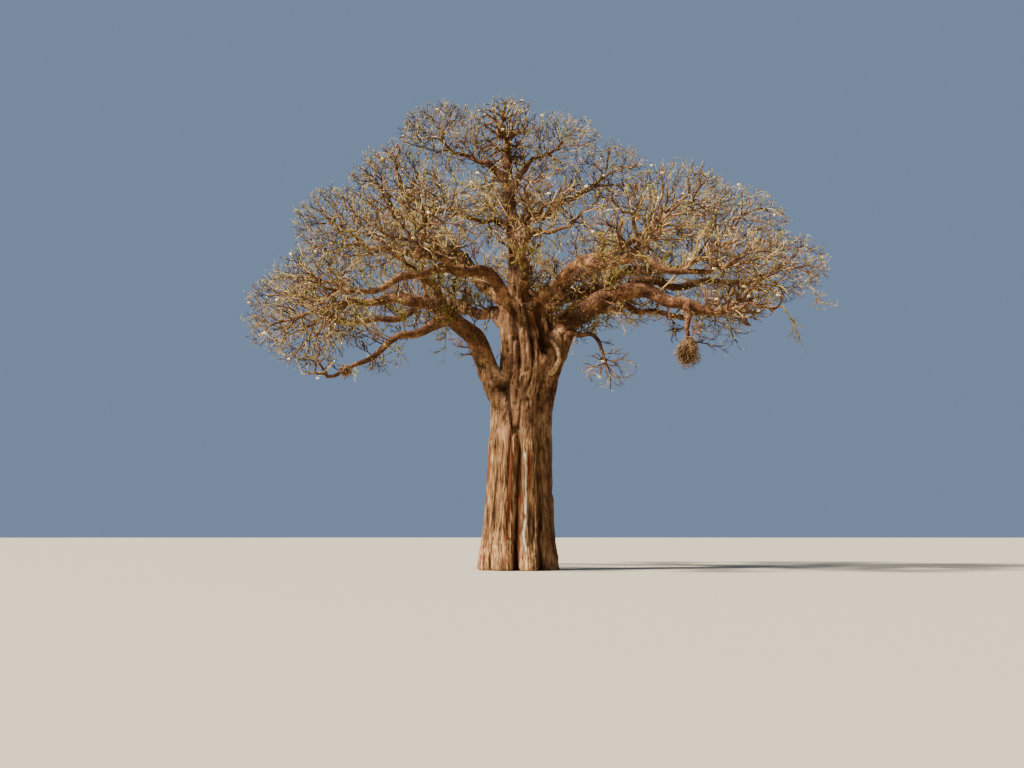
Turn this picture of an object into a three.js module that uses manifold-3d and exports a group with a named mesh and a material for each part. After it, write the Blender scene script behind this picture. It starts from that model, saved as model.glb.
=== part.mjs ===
// A baobab tree in its bare season: a fluted trunk, heavy boughs, masses of twigs with a few large white
// blossoms, and two stick nests on the lower boughs. Sizes are in millimetres and Z is up. X is to the
// right of the side that is seen first, Y runs away from it, and the origin is the middle of the cut at
// ground level.
import * as THREE from "three";
import { mergeVertices } from "three/addons/utils/BufferGeometryUtils.js";
import Module from "manifold-3d";

const wasm = await Module();
wasm.setup();

const { degToRad, lerp, smoothstep } = THREE.MathUtils;

// Finish of each kind of piece
const TRUNK_BARK = new THREE.MeshStandardMaterial({ color: 0x9a7350, roughness: 0.9, metalness: 0 });
const BOUGH_BARK = new THREE.MeshStandardMaterial({ color: 0x8c6249, roughness: 0.88, metalness: 0 });
const TWIG_BARK = new THREE.MeshStandardMaterial({ color: 0x9c7850, roughness: 0.85, metalness: 0 });
const NEST_STICKS = new THREE.MeshStandardMaterial({ color: 0x7d5f38, roughness: 0.95, metalness: 0 });

// Joints between solids
const CLEARANCE = 0.35; // gap between a solid's flat end and the one that carries it
const CUT_CLEARANCE = 0.49; // gap where a solid is cut to the round side of another
const TIDY = 0.05; // vertices closer than this are merged after a cut
const MERGE = 0.001; // vertices closer than this are one

// Trunk stations from the ground up: height, lean to the right, and half the width
const TRUNK_STATIONS = [
  [0, 0, 1930],
  [500, 0, 1800],
  [1500, 0, 1690],
  [3200, 30, 1560],
  [5000, 80, 1480],
  [6600, 100, 1450],
  [7900, 200, 1480],
  [9000, 480, 1300],
  [10300, 400, 1300],
  [11400, 230, 1230],
  [12300, 120, 1120],
  [12900, 40, 780],
];
const TRUNK_CROWNING = 120; // the top's middle stands this far over its edge
const TRUNK_DEPTH = 0.92; // front to back against side to side
const TRUNK_SIDES = 40;
// Grooves between the flutes: bearing in degrees, depth, half the width in degrees, height where they end
const TRUNK_GROOVES = [
  [-95, 300, 8, 8200],
  [-52, 260, 9, 11800],
  [-8, 150, 11, 9000],
  [38, 210, 10, 10500],
  [84, 260, 9, 8600],
  [128, 170, 10, 11000],
  [171, 200, 9, 7600],
  [-138, 120, 8, 7000],
];
const GROOVE_FADE = 2600; // a groove runs out over this height
const ROOT_GROOVE = [0.7, 900]; // how much deeper grooves are at the ground, and the height of that

// Boughs: name, foot, tip, slopes and radii. A foot in the trunk is a point, and a foot on another bough is
// that bough's name and a share of its length, where 1 goes on from its tip. A bough leaves and arrives at
// its two slopes, in degrees above level, and tapers from its first radius to its second.
const BOUGHS = [
  ["bough_left", [-150, -250, 6500], [-3670, -1000, 11750], [64, 30], [630, 340]],
  ["bough_left_reach", ["bough_left", 1], [-7100, -1500, 11900], [30, -6], [330, 150]],
  ["bough_left_low", ["bough_left", 0.9], [-8100, -2500, 8450], [-24, -32], [240, 80]],
  ["bough_left_branch", ["bough_left", 0.82], [-5000, -3600, 13300], [35, 15], [230, 110]],
  ["bough_left_up", [-50, 0, 11500], [-4300, 100, 15400], [46, 30], [400, 160]],
  ["bough_left_shoulder", ["bough_left_up", 0.62], [-6900, 1700, 15200], [25, 12], [230, 110]],
  ["leader", [-50, 0, 11700], [-570, 0, 18710], [90, 86], [470, 210]],
  ["leader_left", ["leader", 0.89], [-3000, -500, 19150], [42, 2], [180, 85]],
  ["leader_right", ["leader", 0.84], [900, -300, 19050], [40, 14], [185, 85]],
  ["leader_low_left", ["leader", 0.62], [-2600, -1900, 15800], [12, 6], [160, 80]],
  ["leader_low_right", ["leader", 0.5], [2100, -1100, 15500], [20, 14], [160, 80]],
  ["leader_shelf", ["leader", 0.66], [3000, 900, 17700], [6, 34], [220, 105]],
  ["leader_back", ["leader", 0.72], [-600, 3600, 18000], [30, 25], [200, 95]],
  ["bough_right", [650, -200, 7600], [4500, -1000, 12450], [73, 12], [630, 400]],
  ["bough_right_reach", ["bough_right", 1], [8700, -1500, 11500], [14, -8], [390, 190]],
  ["bough_right_outer", ["bough_right", 0.88], [10200, 100, 13200], [32, 6], [270, 115]],
  ["bough_right_mid", [450, 300, 11500], [8000, 3000, 14500], [34, 6], [400, 150]],
  ["bough_right_high", [350, -250, 11300], [5300, -1400, 14900], [40, 30], [370, 150]],
  ["bough_droop", ["bough_right", 0.45], [3600, -2100, 9700], [15, -80], [150, 75]],
  ["bough_hang", ["bough_right_reach", 0.72], [7500, -1700, 10150], [-45, -85], [160, 90]],
  ["bough_front_left", [-150, -350, 11700], [-3900, -6500, 12900], [36, -4], [320, 150]],
  ["bough_front", [100, -350, 12200], [200, -5800, 13900], [44, 8], [270, 130]],
  ["bough_front_right", [400, -400, 11600], [4500, -6600, 12700], [38, -6], [330, 150]],
  ["bough_front_left_low", ["bough_front_left", 0.6], [-6900, -5600, 11600], [20, 2], [220, 110]],
  ["bough_front_right_low", ["bough_front_right", 0.6], [8000, -5300, 12500], [22, 4], [220, 110]],
  ["bough_back_left", [-100, 400, 10700], [-4800, 6500, 13300], [46, 10], [380, 150]],
  ["bough_back", [150, 450, 11500], [400, 6800, 14000], [44, 12], [350, 140]],
  ["bough_back_right", [400, 400, 10500], [5000, 6300, 13100], [46, 10], [390, 150]],
  ["bough_back_left_low", ["bough_back_left", 0.55], [-8300, 4600, 12100], [20, 2], [240, 115]],
  ["bough_back_right_low", ["bough_back_right", 0.55], [8600, 5300, 12500], [20, 4], [240, 115]],
].map(([name, foot, tip, slopes, radii]) => ({ name, foot, tip, slopes, radii }));
const HANDLE = 0.36; // how far a bough keeps its leaving and arriving slopes, as a share of its reach
const WANDER = 0.035; // how far a bough strays from its curve, as a share of its reach
const WANDER_TURNS = [1.4, 1.9]; // how often it strays to the side, and up and down
const BOUGH_TAPER = 1.15; // power of the taper: over 1 keeps the outer half slim
const BOUGH_STEP = 1150; // length between two rings
const FEWEST_RINGS = 4;
const BOUGH_SIDES = [[500, 10], [300, 8], [0, 6]]; // sides for each foot radius and over

// Masses of twigs: name, the bough whose tip carries it, the middle of its space, half the size of that
// space along X, Y and Z, and how many twigs it has
const MASSES = [
  ["twigs_far_left", "bough_left_reach", [-9750, -1200, 11400], [3000, 2900, 2600], 21],
  ["twigs_left_low", "bough_left_low", [-8850, -2900, 9200], [1050, 1200, 850], 8],
  ["twigs_left_middle", "bough_left_branch", [-6300, -4300, 14200], [2500, 2500, 1900], 18],
  ["twigs_left_shoulder", "bough_left_shoulder", [-8400, 1700, 16100], [2700, 3000, 2300], 21],
  ["twigs_upper_left", "bough_left_up", [-5600, 300, 17800], [2700, 2900, 2200], 20],
  ["twigs_top_left", "leader_left", [-3500, -700, 19800], [2400, 2700, 1800], 16],
  ["twigs_top", "leader", [-700, -100, 20150], [2300, 2500, 1850], 16],
  ["twigs_top_right", "leader_right", [1800, -600, 19500], [2300, 2700, 1500], 15],
  ["twigs_inner_left", "leader_low_left", [-3300, -2800, 16200], [2200, 2300, 1800], 14],
  ["twigs_inner_right", "leader_low_right", [2700, -1700, 15900], [1700, 1900, 1500], 10],
  ["twigs_shelf", "leader_shelf", [4200, 700, 18500], [2200, 2500, 1700], 15],
  ["twigs_top_back", "leader_back", [-800, 4600, 18400], [3200, 2600, 2200], 17],
  ["twigs_right_low", "bough_right_reach", [10000, -1900, 12000], [2000, 2200, 1250], 12],
  ["twigs_far_right", "bough_right_outer", [11950, 100, 13850], [2600, 2700, 1750], 17],
  ["twigs_right_shoulder", "bough_right_mid", [10350, 2600, 16300], [3000, 3000, 2300], 20],
  ["twigs_right_high", "bough_right_high", [7100, -1700, 16400], [2700, 2900, 2100], 19],
  ["twigs_droop", "bough_droop", [3900, -2500, 8800], [1400, 1300, 1100], 8],
  ["twigs_front_left", "bough_front_left", [-3700, -8400, 13600], [2700, 2600, 2000], 18],
  ["twigs_front", "bough_front", [300, -7400, 14900], [2700, 2900, 1900], 18],
  ["twigs_front_right", "bough_front_right", [4500, -8300, 13600], [2700, 2600, 1900], 18],
  ["twigs_front_left_low", "bough_front_left_low", [-8200, -5900, 11950], [2350, 2600, 1750], 17],
  ["twigs_front_right_low", "bough_front_right_low", [9300, -5500, 13050], [2500, 2700, 1650], 17],
  ["twigs_back_left", "bough_back_left", [-5000, 8400, 14700], [3000, 2900, 2200], 17],
  ["twigs_back", "bough_back", [500, 8900, 15300], [2900, 2900, 2300], 16],
  ["twigs_back_right", "bough_back_right", [5600, 8200, 14600], [3000, 2900, 2200], 17],
  ["twigs_back_left_low", "bough_back_left_low", [-9900, 5000, 12800], [2700, 2800, 2100], 16],
  ["twigs_back_right_low", "bough_back_right_low", [10200, 5300, 13400], [2700, 2800, 1900], 15],
].map(([name, carrier, middle, half, tips]) => ({ name, carrier, middle, half, tips }));
// Twig ends keep their bearing from the middle and are drawn outwards by a power of their distance: the
// power of the first end, the power of the later ones, and the count where those begin
const SPREAD = [0.35, 0.8, 200];
const MOST_TRIES = 400; // places tried for the twig ends of one mass
const THRIFT = 0.32; // how strongly a new twig prefers a short way back to the stem
const TURN_COST = 0.45; // how strongly a new twig avoids turning back on the one that it leaves
const TWIG_LEAD = 0.34; // how far a new twig follows the one that it leaves, as a share of its own length
const TWIG_STEP = 1800; // longest straight piece of a twig
const TWIG_MARGIN = 90; // distance that twigs keep to the edge of their space
const LIMB_MARGIN = 180; // distance that twigs keep to limbs and nests
const TWIG_SIDES = 3;
const TWIG_SINK = 1.2; // how far a twig's foot is sunk into the twig that it leaves, in its own radii
const BRANCHING = 0.42; // a branch's radius goes with this power of the twig ends that it carries
const MARK_STEP = 200; // spacing of the points that stand for a limb when twigs keep clear of it
const BLOSSOM_EVERY = 7; // one twig end in so many carries a blossom
const BLOSSOM = [115, 140]; // a blossom's radius across and down
const BLOSSOM_DROP = 70; // its middle hangs this far under the twig's end

// Nests of sticks: name, the bough that each is seated round, the share of its length, how far the nest's
// middle hangs below the bough, half its size along X, Y and Z, and how many sticks stand out of it
const NESTS = [
  ["nest_right", "bough_hang", 1, 470, [590, 560, 720], 12],
  ["nest_left", "bough_left_low", 0.91, 70, [340, 340, 310], 8],
].map(([name, carrier, at, drop, half, sticks]) => ({ name, carrier, at, drop, half, sticks }));
const NEST_ROUGHNESS = 0.16; // how far in the nest's surface is dented, as a share of its size
const STICK_REACH = [165, 330]; // how far sticks stand out, least and most
const STICK_RADII = [34, 14];
const STICK_TURN = 2.4; // turn in radians from one stick to the next
const STICK_LEVELS = [0.35, -0.85]; // sine of the slope of the first stick and of the last

// A number from 0 to 1 that depends only on a seed and a count.
function chance(seed, count) {
  const wave = Math.sin(seed * 12.9898 + count * 78.233) * 43758.5453;
  return wave - Math.floor(wave);
}

// The count-th point of a sequence that fills a cube from -1 to 1 evenly.
function evenPoint(count) {
  const root = 1.2207440846057596;
  return new THREE.Vector3(...[1, 2, 3].map((power) => 2 * ((0.5 + count / root ** power) % 1) - 1));
}

// A closed skin over rings of points that all have the same count. Its start is flat. Its end is flat too,
// or a fan that meets in a given point.
function skinOfRings(rings, endPoint) {
  const sides = rings[0].length;
  const points = endPoint ? rings.flat().concat([endPoint]) : rings.flat();
  const faces = [];
  for (let ring = 0; ring < rings.length - 1; ring++) {
    for (let side = 0; side < sides; side++) {
      const a = ring * sides + side;
      const b = ring * sides + ((side + 1) % sides);
      faces.push(a, b, b + sides, a, b + sides, a + sides);
    }
  }
  const top = (rings.length - 1) * sides;
  for (let side = 1; side < sides - 1; side++) {
    faces.push(0, side + 1, side);
    if (!endPoint) faces.push(top, top + side, top + side + 1);
  }
  for (let side = 0; endPoint && side < sides; side++) {
    faces.push(points.length - 1, top + side, top + ((side + 1) % sides));
  }
  const values = points.flatMap((point) => point.toArray());
  const skin = new THREE.BufferGeometry();
  skin.setAttribute("position", new THREE.Float32BufferAttribute(values, 3));
  skin.setIndex(faces);
  return skin;
}

// A closed geometry as a solid that can be joined and cut.
function solidOf(geometry) {
  const bare = geometry.clone();
  bare.deleteAttribute("normal");
  bare.deleteAttribute("uv");
  const merged = mergeVertices(bare, MERGE);
  return new wasm.Manifold(
    new wasm.Mesh({
      numProp: 3,
      vertProperties: new Float32Array(merged.attributes.position.array),
      triVerts: new Uint32Array(merged.index.array),
    }),
  );
}

// The largest of the bodies that a cut leaves, with its shortest edges merged.
function largestBody(solid) {
  const [largest] = solid.decompose().sort((a, b) => b.volume() - a.volume());
  return largest.simplify(TIDY);
}

// A solid as a named mesh.
function meshOf(name, solid, material) {
  const made = solid.getMesh();
  const geometry = new THREE.BufferGeometry();
  geometry.setAttribute("position", new THREE.BufferAttribute(made.vertProperties, 3));
  geometry.setIndex(new THREE.BufferAttribute(made.triVerts, 1));
  geometry.computeVertexNormals();
  const mesh = new THREE.Mesh(geometry, material);
  mesh.name = name;
  return mesh;
}

// How far the grooves draw the trunk in at a bearing in radians and a height.
function grooveDepth(bearing, height) {
  const rooting = 1 + ROOT_GROOVE[0] * Math.exp(-height / ROOT_GROOVE[1]);
  return TRUNK_GROOVES.reduce((sum, [at, depth, width, end]) => {
    const turn = bearing - degToRad(at);
    const across = Math.atan2(Math.sin(turn), Math.cos(turn)) / degToRad(width);
    return sum + depth * rooting * smoothstep(end - height, 0, GROOVE_FADE) * Math.exp(-across * across);
  }, 0);
}

// The trunk, grown by extra all round but not at its flat foot.
function trunkSolid(extra) {
  const rings = TRUNK_STATIONS.map(([height, lean, halfWidth]) =>
    Array.from({ length: TRUNK_SIDES }, (_, side) => {
      const bearing = (2 * Math.PI * side) / TRUNK_SIDES;
      const radius = halfWidth + extra - grooveDepth(bearing, height);
      return new THREE.Vector3(
        lean + radius * Math.cos(bearing),
        TRUNK_DEPTH * radius * Math.sin(bearing),
        height,
      );
    }),
  );
  const [topHeight, topLean] = TRUNK_STATIONS.at(-1);
  rings.at(-1).forEach((point) => point.setZ(topHeight + extra));
  return solidOf(skinOfRings(rings, new THREE.Vector3(topLean, 0, topHeight + TRUNK_CROWNING + extra)));
}

// A direction with the level bearing from one point to another and a given slope in degrees.
function headingTowards(from, to, slope) {
  const level = new THREE.Vector3(to.x - from.x, to.y - from.y, 0).normalize();
  return level.multiplyScalar(Math.cos(degToRad(slope))).setZ(Math.sin(degToRad(slope)));
}

// A bough's centre line: a cubic curve that keeps its leaving and arriving slopes for a share of its reach,
// and strays from it to the side and up and down between its ends.
class BoughCurve extends THREE.Curve {
  constructor(bough, order, curves) {
    super();
    const [carrier, share] = bough.foot;
    const isOnTrunk = typeof carrier === "number";
    const foot = isOnTrunk ? new THREE.Vector3(...bough.foot) : curves[carrier].getPoint(share);
    const tip = new THREE.Vector3(...bough.tip);
    const goesOn = share === 1;
    const leaving = goesOn ? curves[carrier].getTangent(1) : headingTowards(foot, tip, bough.slopes[0]);
    if (goesOn) foot.addScaledVector(leaving, CLEARANCE);
    const arriving = headingTowards(foot, tip, bough.slopes[1]);
    const reach = foot.distanceTo(tip);
    this.cubic = new THREE.CubicBezierCurve3(
      foot,
      foot.clone().addScaledVector(leaving, HANDLE * reach),
      tip.clone().addScaledVector(arriving, -HANDLE * reach),
      tip,
    );
    this.stray = WANDER * reach;
    this.phases = [chance(order, 1), chance(order, 2)];
    this.sideways = new THREE.Vector3(foot.y - tip.y, tip.x - foot.x, 0).normalize();
  }

  getPoint(share) {
    const size = this.stray * Math.sin(Math.PI * share) ** 2;
    const [side, rise] = this.phases.map(
      (phase, k) => size * Math.sin(2 * Math.PI * (WANDER_TURNS[k] * share + phase)),
    );
    const point = this.cubic.getPoint(share).addScaledVector(this.sideways, side);
    return point.setZ(point.z + rise);
  }
}

function boughRadius(bough, share) {
  return bough.radii[1] + (bough.radii[0] - bough.radii[1]) * (1 - share) ** BOUGH_TAPER;
}

// Rings round a list of points, each with a radius and the way that it faces.
function ringsAlong(points, radii, facings, sides) {
  let across = new THREE.Vector3(0.31, 0.87, 0.38);
  return points.map((point, k) => {
    across = across.clone().addScaledVector(facings[k], -across.dot(facings[k])).normalize();
    const upright = facings[k].clone().cross(across);
    return Array.from({ length: sides }, (_, side) => {
      const turn = (2 * Math.PI * side) / sides;
      return point
        .clone()
        .addScaledVector(across, radii[k] * Math.cos(turn))
        .addScaledVector(upright, radii[k] * Math.sin(turn));
    });
  });
}

// A bough as a solid, grown all round by extra.
function boughSolid(bough, curve, extra) {
  const steps = Math.max(FEWEST_RINGS, Math.round(curve.getLength() / BOUGH_STEP));
  const shares = Array.from({ length: steps + 1 }, (_, k) => k / steps);
  const points = shares.map((share) => curve.getPoint(share));
  points[0].addScaledVector(curve.getTangent(0), -extra);
  points[steps].addScaledVector(curve.getTangent(1), extra);
  const radii = shares.map((share) => boughRadius(bough, share) + extra);
  const facings = shares.map((share) => curve.getTangent(share));
  const [, sides] = BOUGH_SIDES.find(([radius]) => bough.radii[0] > radius);
  return solidOf(skinOfRings(ringsAlong(points, radii, facings, sides)));
}

// Points spaced along a bough with its radius at each, for keeping twigs clear of it.
function boughMarks(bough, curve) {
  const count = Math.ceil(curve.getLength() / MARK_STEP);
  return Array.from({ length: count + 1 }, (_, k) => ({
    point: curve.getPoint(k / count),
    radius: boughRadius(bough, k / count),
  }));
}

// A mass's claim on a point: its distance from the middle squared, less the mean half size squared. The
// mass with the smallest claim has the point, which parts the crown into spaces with flat sides.
function claim(mass, point) {
  const size = (mass.half[0] + mass.half[1] + mass.half[2]) / 3;
  return point.distanceToSquared(new THREE.Vector3(...mass.middle)) - size ** 2;
}

// Whether a point is inside the round space of a mass and clear of the flat sides between the spaces.
function isInSpace(mass, point) {
  const shares = point.toArray().map((value, k) => (value - mass.middle[k]) / mass.half[k]);
  if (Math.hypot(...shares) > 1) return false;
  const own = claim(mass, point);
  return MASSES.every((other) => {
    const apart = Math.hypot(...other.middle.map((value, k) => value - mass.middle[k]));
    return other === mass || claim(other, point) - own > 2 * apart * TWIG_MARGIN;
  });
}

function isClearOf(marks, point) {
  return marks.every((mark) => mark.point.distanceTo(point) > mark.radius + LIMB_MARGIN);
}

// Points from a node to a twig's end, along a curve that first follows the twig that it leaves.
function twigPath(node, end, fewestPieces) {
  const length = node.point.distanceTo(end);
  const bend = node.point.clone().addScaledVector(node.heading, TWIG_LEAD * length);
  const curve = new THREE.QuadraticBezierCurve3(node.point, bend, end);
  return curve.getPoints(Math.max(fewestPieces, Math.ceil(length / TWIG_STEP))).slice(1);
}

// Adds a path to the nodes of a mass, and returns the numbers of its nodes, the one it leaves first.
function addPath(nodes, from, path) {
  const twig = [from];
  for (const point of path) {
    const previous = nodes[twig.at(-1)];
    const step = point.clone().sub(previous.point);
    twig.push(nodes.length);
    nodes.push({
      point,
      heading: step.clone().normalize(),
      way: previous.way + step.length(),
      parent: twig.at(-2),
      load: 0,
    });
  }
  return twig;
}

// The node that a new twig leaves: the one with the cheapest way from the stem's foot to the twig's end.
function cheapestNode(nodes, end) {
  const costs = nodes.map((node, k) => {
    const far = node.point.distanceTo(end);
    const facing = end.clone().sub(node.point).dot(node.heading) / far;
    return k === 0 ? Infinity : far * (1 + TURN_COST * (1 - facing)) + THRIFT * node.way;
  });
  return costs.indexOf(Math.min(...costs));
}

// Grows one mass: a stem from its bough's tip to the middle of its space, then one twig after another. A
// twig that would leave the space or touch a limb is skipped. A node's load is the count of twig ends that
// it carries.
function growMass(mass, seed, curve, marks) {
  const heading = curve.getTangent(1);
  const start = curve.getPoint(1).addScaledVector(heading, CLEARANCE);
  const nodes = [{ point: start, heading, way: 0, parent: -1, load: 0 }];
  const twigs = [addPath(nodes, 0, twigPath(nodes[0], new THREE.Vector3(...mass.middle), 2))];
  for (let count = 1; twigs.length <= mass.tips && count < MOST_TRIES; count++) {
    const place = evenPoint(seed * 1000 + count);
    const out = place.length();
    const power = lerp(SPREAD[0], SPREAD[1], Math.min(1, count / SPREAD[2]));
    place.multiplyScalar(out ** (power - 1));
    const end = place.multiply(new THREE.Vector3(...mass.half)).add(new THREE.Vector3(...mass.middle));
    if (out > 1 || !isInSpace(mass, end)) continue;
    const from = cheapestNode(nodes, end);
    const path = twigPath(nodes[from], end, 1);
    const isFree = path.every((point, k) => {
      const before = k === 0 ? nodes[from].point : path[k - 1];
      const halfway = point.clone().add(before).multiplyScalar(0.5);
      return isInSpace(mass, point) && isClearOf(marks, point) && isClearOf(marks, halfway);
    });
    if (isFree) twigs.push(addPath(nodes, from, path));
  }
  for (const twig of twigs) {
    for (let k = twig.at(-1); k >= 0; k = nodes[k].parent) nodes[k].load++;
  }
  return { nodes, twigs };
}

// One twig as a three-sided tube. It faces along its points, or as told at its foot, and ends in a point
// where its last radius is zero.
function twigSolid(points, radii, footFacing) {
  const last = points.length - 1;
  const facings = points.map((point, k) => {
    const before = points[Math.max(0, k - 1)];
    const after = points[Math.min(last, k + 1)];
    return k === 0 && footFacing ? footFacing : after.clone().sub(before).normalize();
  });
  const rings = ringsAlong(points, radii, facings, TWIG_SIDES);
  return solidOf(radii[last] > 0 ? skinOfRings(rings) : skinOfRings(rings.slice(0, -1), points[last]));
}

function blossomSolid(end) {
  const ball = new THREE.OctahedronGeometry(1, 0);
  ball.scale(BLOSSOM[0], BLOSSOM[0], BLOSSOM[1]);
  ball.translate(end.x, end.y, end.z - BLOSSOM_DROP);
  ball.setIndex(Array.from({ length: ball.attributes.position.count }, (_, k) => k));
  return solidOf(ball);
}

// A grown mass as one solid: its twigs, thinner the less they carry, and its blossoms.
function massSolid({ nodes, twigs }, stemRadius) {
  const radiusOf = (k) => stemRadius * (nodes[k].load / nodes[0].load) ** BRANCHING;
  const pieces = twigs.flatMap((twig, order) => {
    const points = twig.map((k) => nodes[k].point.clone());
    const radii = [radiusOf(twig[1]), ...twig.slice(1).map(radiusOf)];
    if (order > 0) points[0].addScaledVector(nodes[twig[0]].heading, -TWIG_SINK * radii[0]);
    if (nodes[twig.at(-1)].load === 1) radii[radii.length - 1] = 0;
    const wood = twigSolid(points, radii, order === 0 ? nodes[0].heading : undefined);
    return order % BLOSSOM_EVERY === BLOSSOM_EVERY - 1 ? [wood, blossomSolid(points.at(-1))] : [wood];
  });
  return wasm.Manifold.union(pieces).simplify(TIDY);
}

// A ragged ball of sticks with some longer ones that stand out of it.
function nestSolid(nest, middle, seed) {
  const ball = new THREE.IcosahedronGeometry(1, 1);
  ball.deleteAttribute("normal");
  ball.deleteAttribute("uv");
  const shell = mergeVertices(ball, MERGE);
  const place = shell.attributes.position;
  for (let k = 0; k < place.count; k++) {
    const swell = 1 - NEST_ROUGHNESS * chance(seed, k);
    place.setXYZ(k, place.getX(k) * swell, place.getY(k) * swell, place.getZ(k) * swell);
  }
  shell.scale(...nest.half);
  shell.translate(middle.x, middle.y, middle.z);
  const sticks = Array.from({ length: nest.sticks }, (_, stick) => {
    const level = lerp(...STICK_LEVELS, (stick + 0.5) / nest.sticks);
    const out = new THREE.Vector3(Math.cos(stick * STICK_TURN), Math.sin(stick * STICK_TURN), 0)
      .multiplyScalar(Math.sqrt(1 - level * level))
      .setZ(level);
    const edge = out.clone().multiply(new THREE.Vector3(...nest.half)).length();
    const end = middle.clone().addScaledVector(out, edge + lerp(...STICK_REACH, chance(seed, stick)));
    return twigSolid([middle.clone().lerp(end, 0.2), end], STICK_RADII);
  });
  return wasm.Manifold.union([solidOf(shell), ...sticks]);
}

// Trunk, and boughs cut clear of the trunk and of the boughs made before them
const limbs = new THREE.Group();
limbs.add(meshOf("trunk", trunkSolid(0), TRUNK_BARK));
const curves = {};
const marks = [];
const cutters = { trunk: trunkSolid(CUT_CLEARANCE) };
for (const [order, bough] of BOUGHS.entries()) {
  const curve = new BoughCurve(bough, order, curves);
  const goesOnFrom = bough.foot[1] === 1 ? bough.foot[0] : undefined;
  const solid = Object.entries(cutters)
    .filter(([name]) => name !== goesOnFrom)
    .reduce((left, [, cutter]) => left.subtract(cutter), boughSolid(bough, curve, 0));
  limbs.add(meshOf(bough.name, largestBody(solid), BOUGH_BARK));
  curves[bough.name] = curve;
  cutters[bough.name] = boughSolid(bough, curve, CUT_CLEARANCE);
  marks.push(...boughMarks(bough, curve));
}

// Nests, each cut clear of the bough that it sits round
for (const [order, nest] of NESTS.entries()) {
  const middle = curves[nest.carrier].getPoint(nest.at);
  middle.z -= nest.drop;
  const solid = nestSolid(nest, middle, order + 1).subtract(cutters[nest.carrier]);
  limbs.add(meshOf(nest.name, largestBody(solid), NEST_STICKS));
  marks.push({ point: middle, radius: Math.max(...nest.half) });
}

// Crown
const crown = new THREE.Group();
for (const [order, mass] of MASSES.entries()) {
  const bough = BOUGHS.find(({ name }) => name === mass.carrier);
  const grown = growMass(mass, order + 1, curves[mass.carrier], marks);
  crown.add(meshOf(mass.name, massSolid(grown, bough.radii[1]), TWIG_BARK));
}

const tree = new THREE.Group();
tree.add(limbs, crown);
export default tree;
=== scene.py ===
# %% [markdown]
# # A baobab in its bare season
# A baobab is mostly trunk: a swollen column of soft, wet wood under thick bark, with a few heavy boughs that
# end in wide masses of crooked twigs. This lesson loads the solid model of the tree, and then dresses it:
# first the bark of the trunk and boughs, then the fine twigs, buds and blossoms, and at last two stick nests.

# %% Load the solid model
import bpy
import numpy as np
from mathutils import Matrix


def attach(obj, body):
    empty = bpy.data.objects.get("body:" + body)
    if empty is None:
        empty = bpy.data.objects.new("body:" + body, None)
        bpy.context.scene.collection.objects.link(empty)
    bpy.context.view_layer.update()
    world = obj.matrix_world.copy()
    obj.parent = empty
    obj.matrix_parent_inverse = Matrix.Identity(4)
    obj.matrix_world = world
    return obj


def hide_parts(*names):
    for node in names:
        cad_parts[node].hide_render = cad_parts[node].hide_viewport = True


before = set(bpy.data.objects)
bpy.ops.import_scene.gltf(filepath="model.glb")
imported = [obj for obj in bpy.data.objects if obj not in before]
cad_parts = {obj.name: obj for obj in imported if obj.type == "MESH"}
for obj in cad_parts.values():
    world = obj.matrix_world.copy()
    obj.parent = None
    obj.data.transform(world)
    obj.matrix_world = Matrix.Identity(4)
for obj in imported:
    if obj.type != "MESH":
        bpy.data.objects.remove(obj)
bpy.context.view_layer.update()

# %% [markdown]
# ## Camera and light
# The tree is 22 m tall and is seen from 54 m away at eye height, so the camera tilts up a little. The sun comes
# from the upper left. A studio has no sun, but one broad, warm lamp and a pale sky give the same shape to the
# limbs without hard black shadows.

# %% Camera and light
EYE = (-0.34, -54.5, 1.53)
TILT_UP = np.arctan(151.6 / 1200)
LENS_MM, SENSOR_MM, SEES_TO = 42.19, 36, 1000
LAMP_TURN = (np.radians(47), 0, np.radians(-63))
scene = bpy.context.scene


def put_in_scene(name, data):
    """An object that holds this data, linked to the scene."""
    holder = bpy.data.objects.new(name, data)
    scene.collection.objects.link(holder)
    return holder


view = bpy.data.cameras.new("view")
view.lens, view.sensor_width, view.clip_end = LENS_MM, SENSOR_MM, SEES_TO
camera = put_in_scene("view", view)
camera.location = EYE
camera.rotation_euler = (np.pi / 2 + TILT_UP, 0, 0)
scene.camera = camera
lamp = bpy.data.lights.new("broad_lamp", "SUN")
lamp.energy, lamp.angle, lamp.color = 8.8, np.radians(5), (1, 0.965, 0.92)
put_in_scene("broad_lamp", lamp).rotation_euler = LAMP_TURN
sky = bpy.data.worlds.new("pale_sky")
sky.use_nodes = True
background = sky.node_tree.nodes["Background"].inputs
background["Color"].default_value = (0.45, 0.6, 0.85, 1)
background["Strength"].default_value = 0.4
scene.world = sky
scene.view_settings.look = "AgX - Medium High Contrast"
print("camera at", tuple(camera.location))

# %% [markdown]
# ## Helpers for meshes and materials
# Everything here is worked out as whole arrays of points, so one helper puts arrays into a mesh. Another adds a
# node to a material, and one turns a colour as a painter writes it (sRGB hex) to the linear light that Blender
# mixes. All that the tree is made of is dull, so every material starts from the same matt one.


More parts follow.
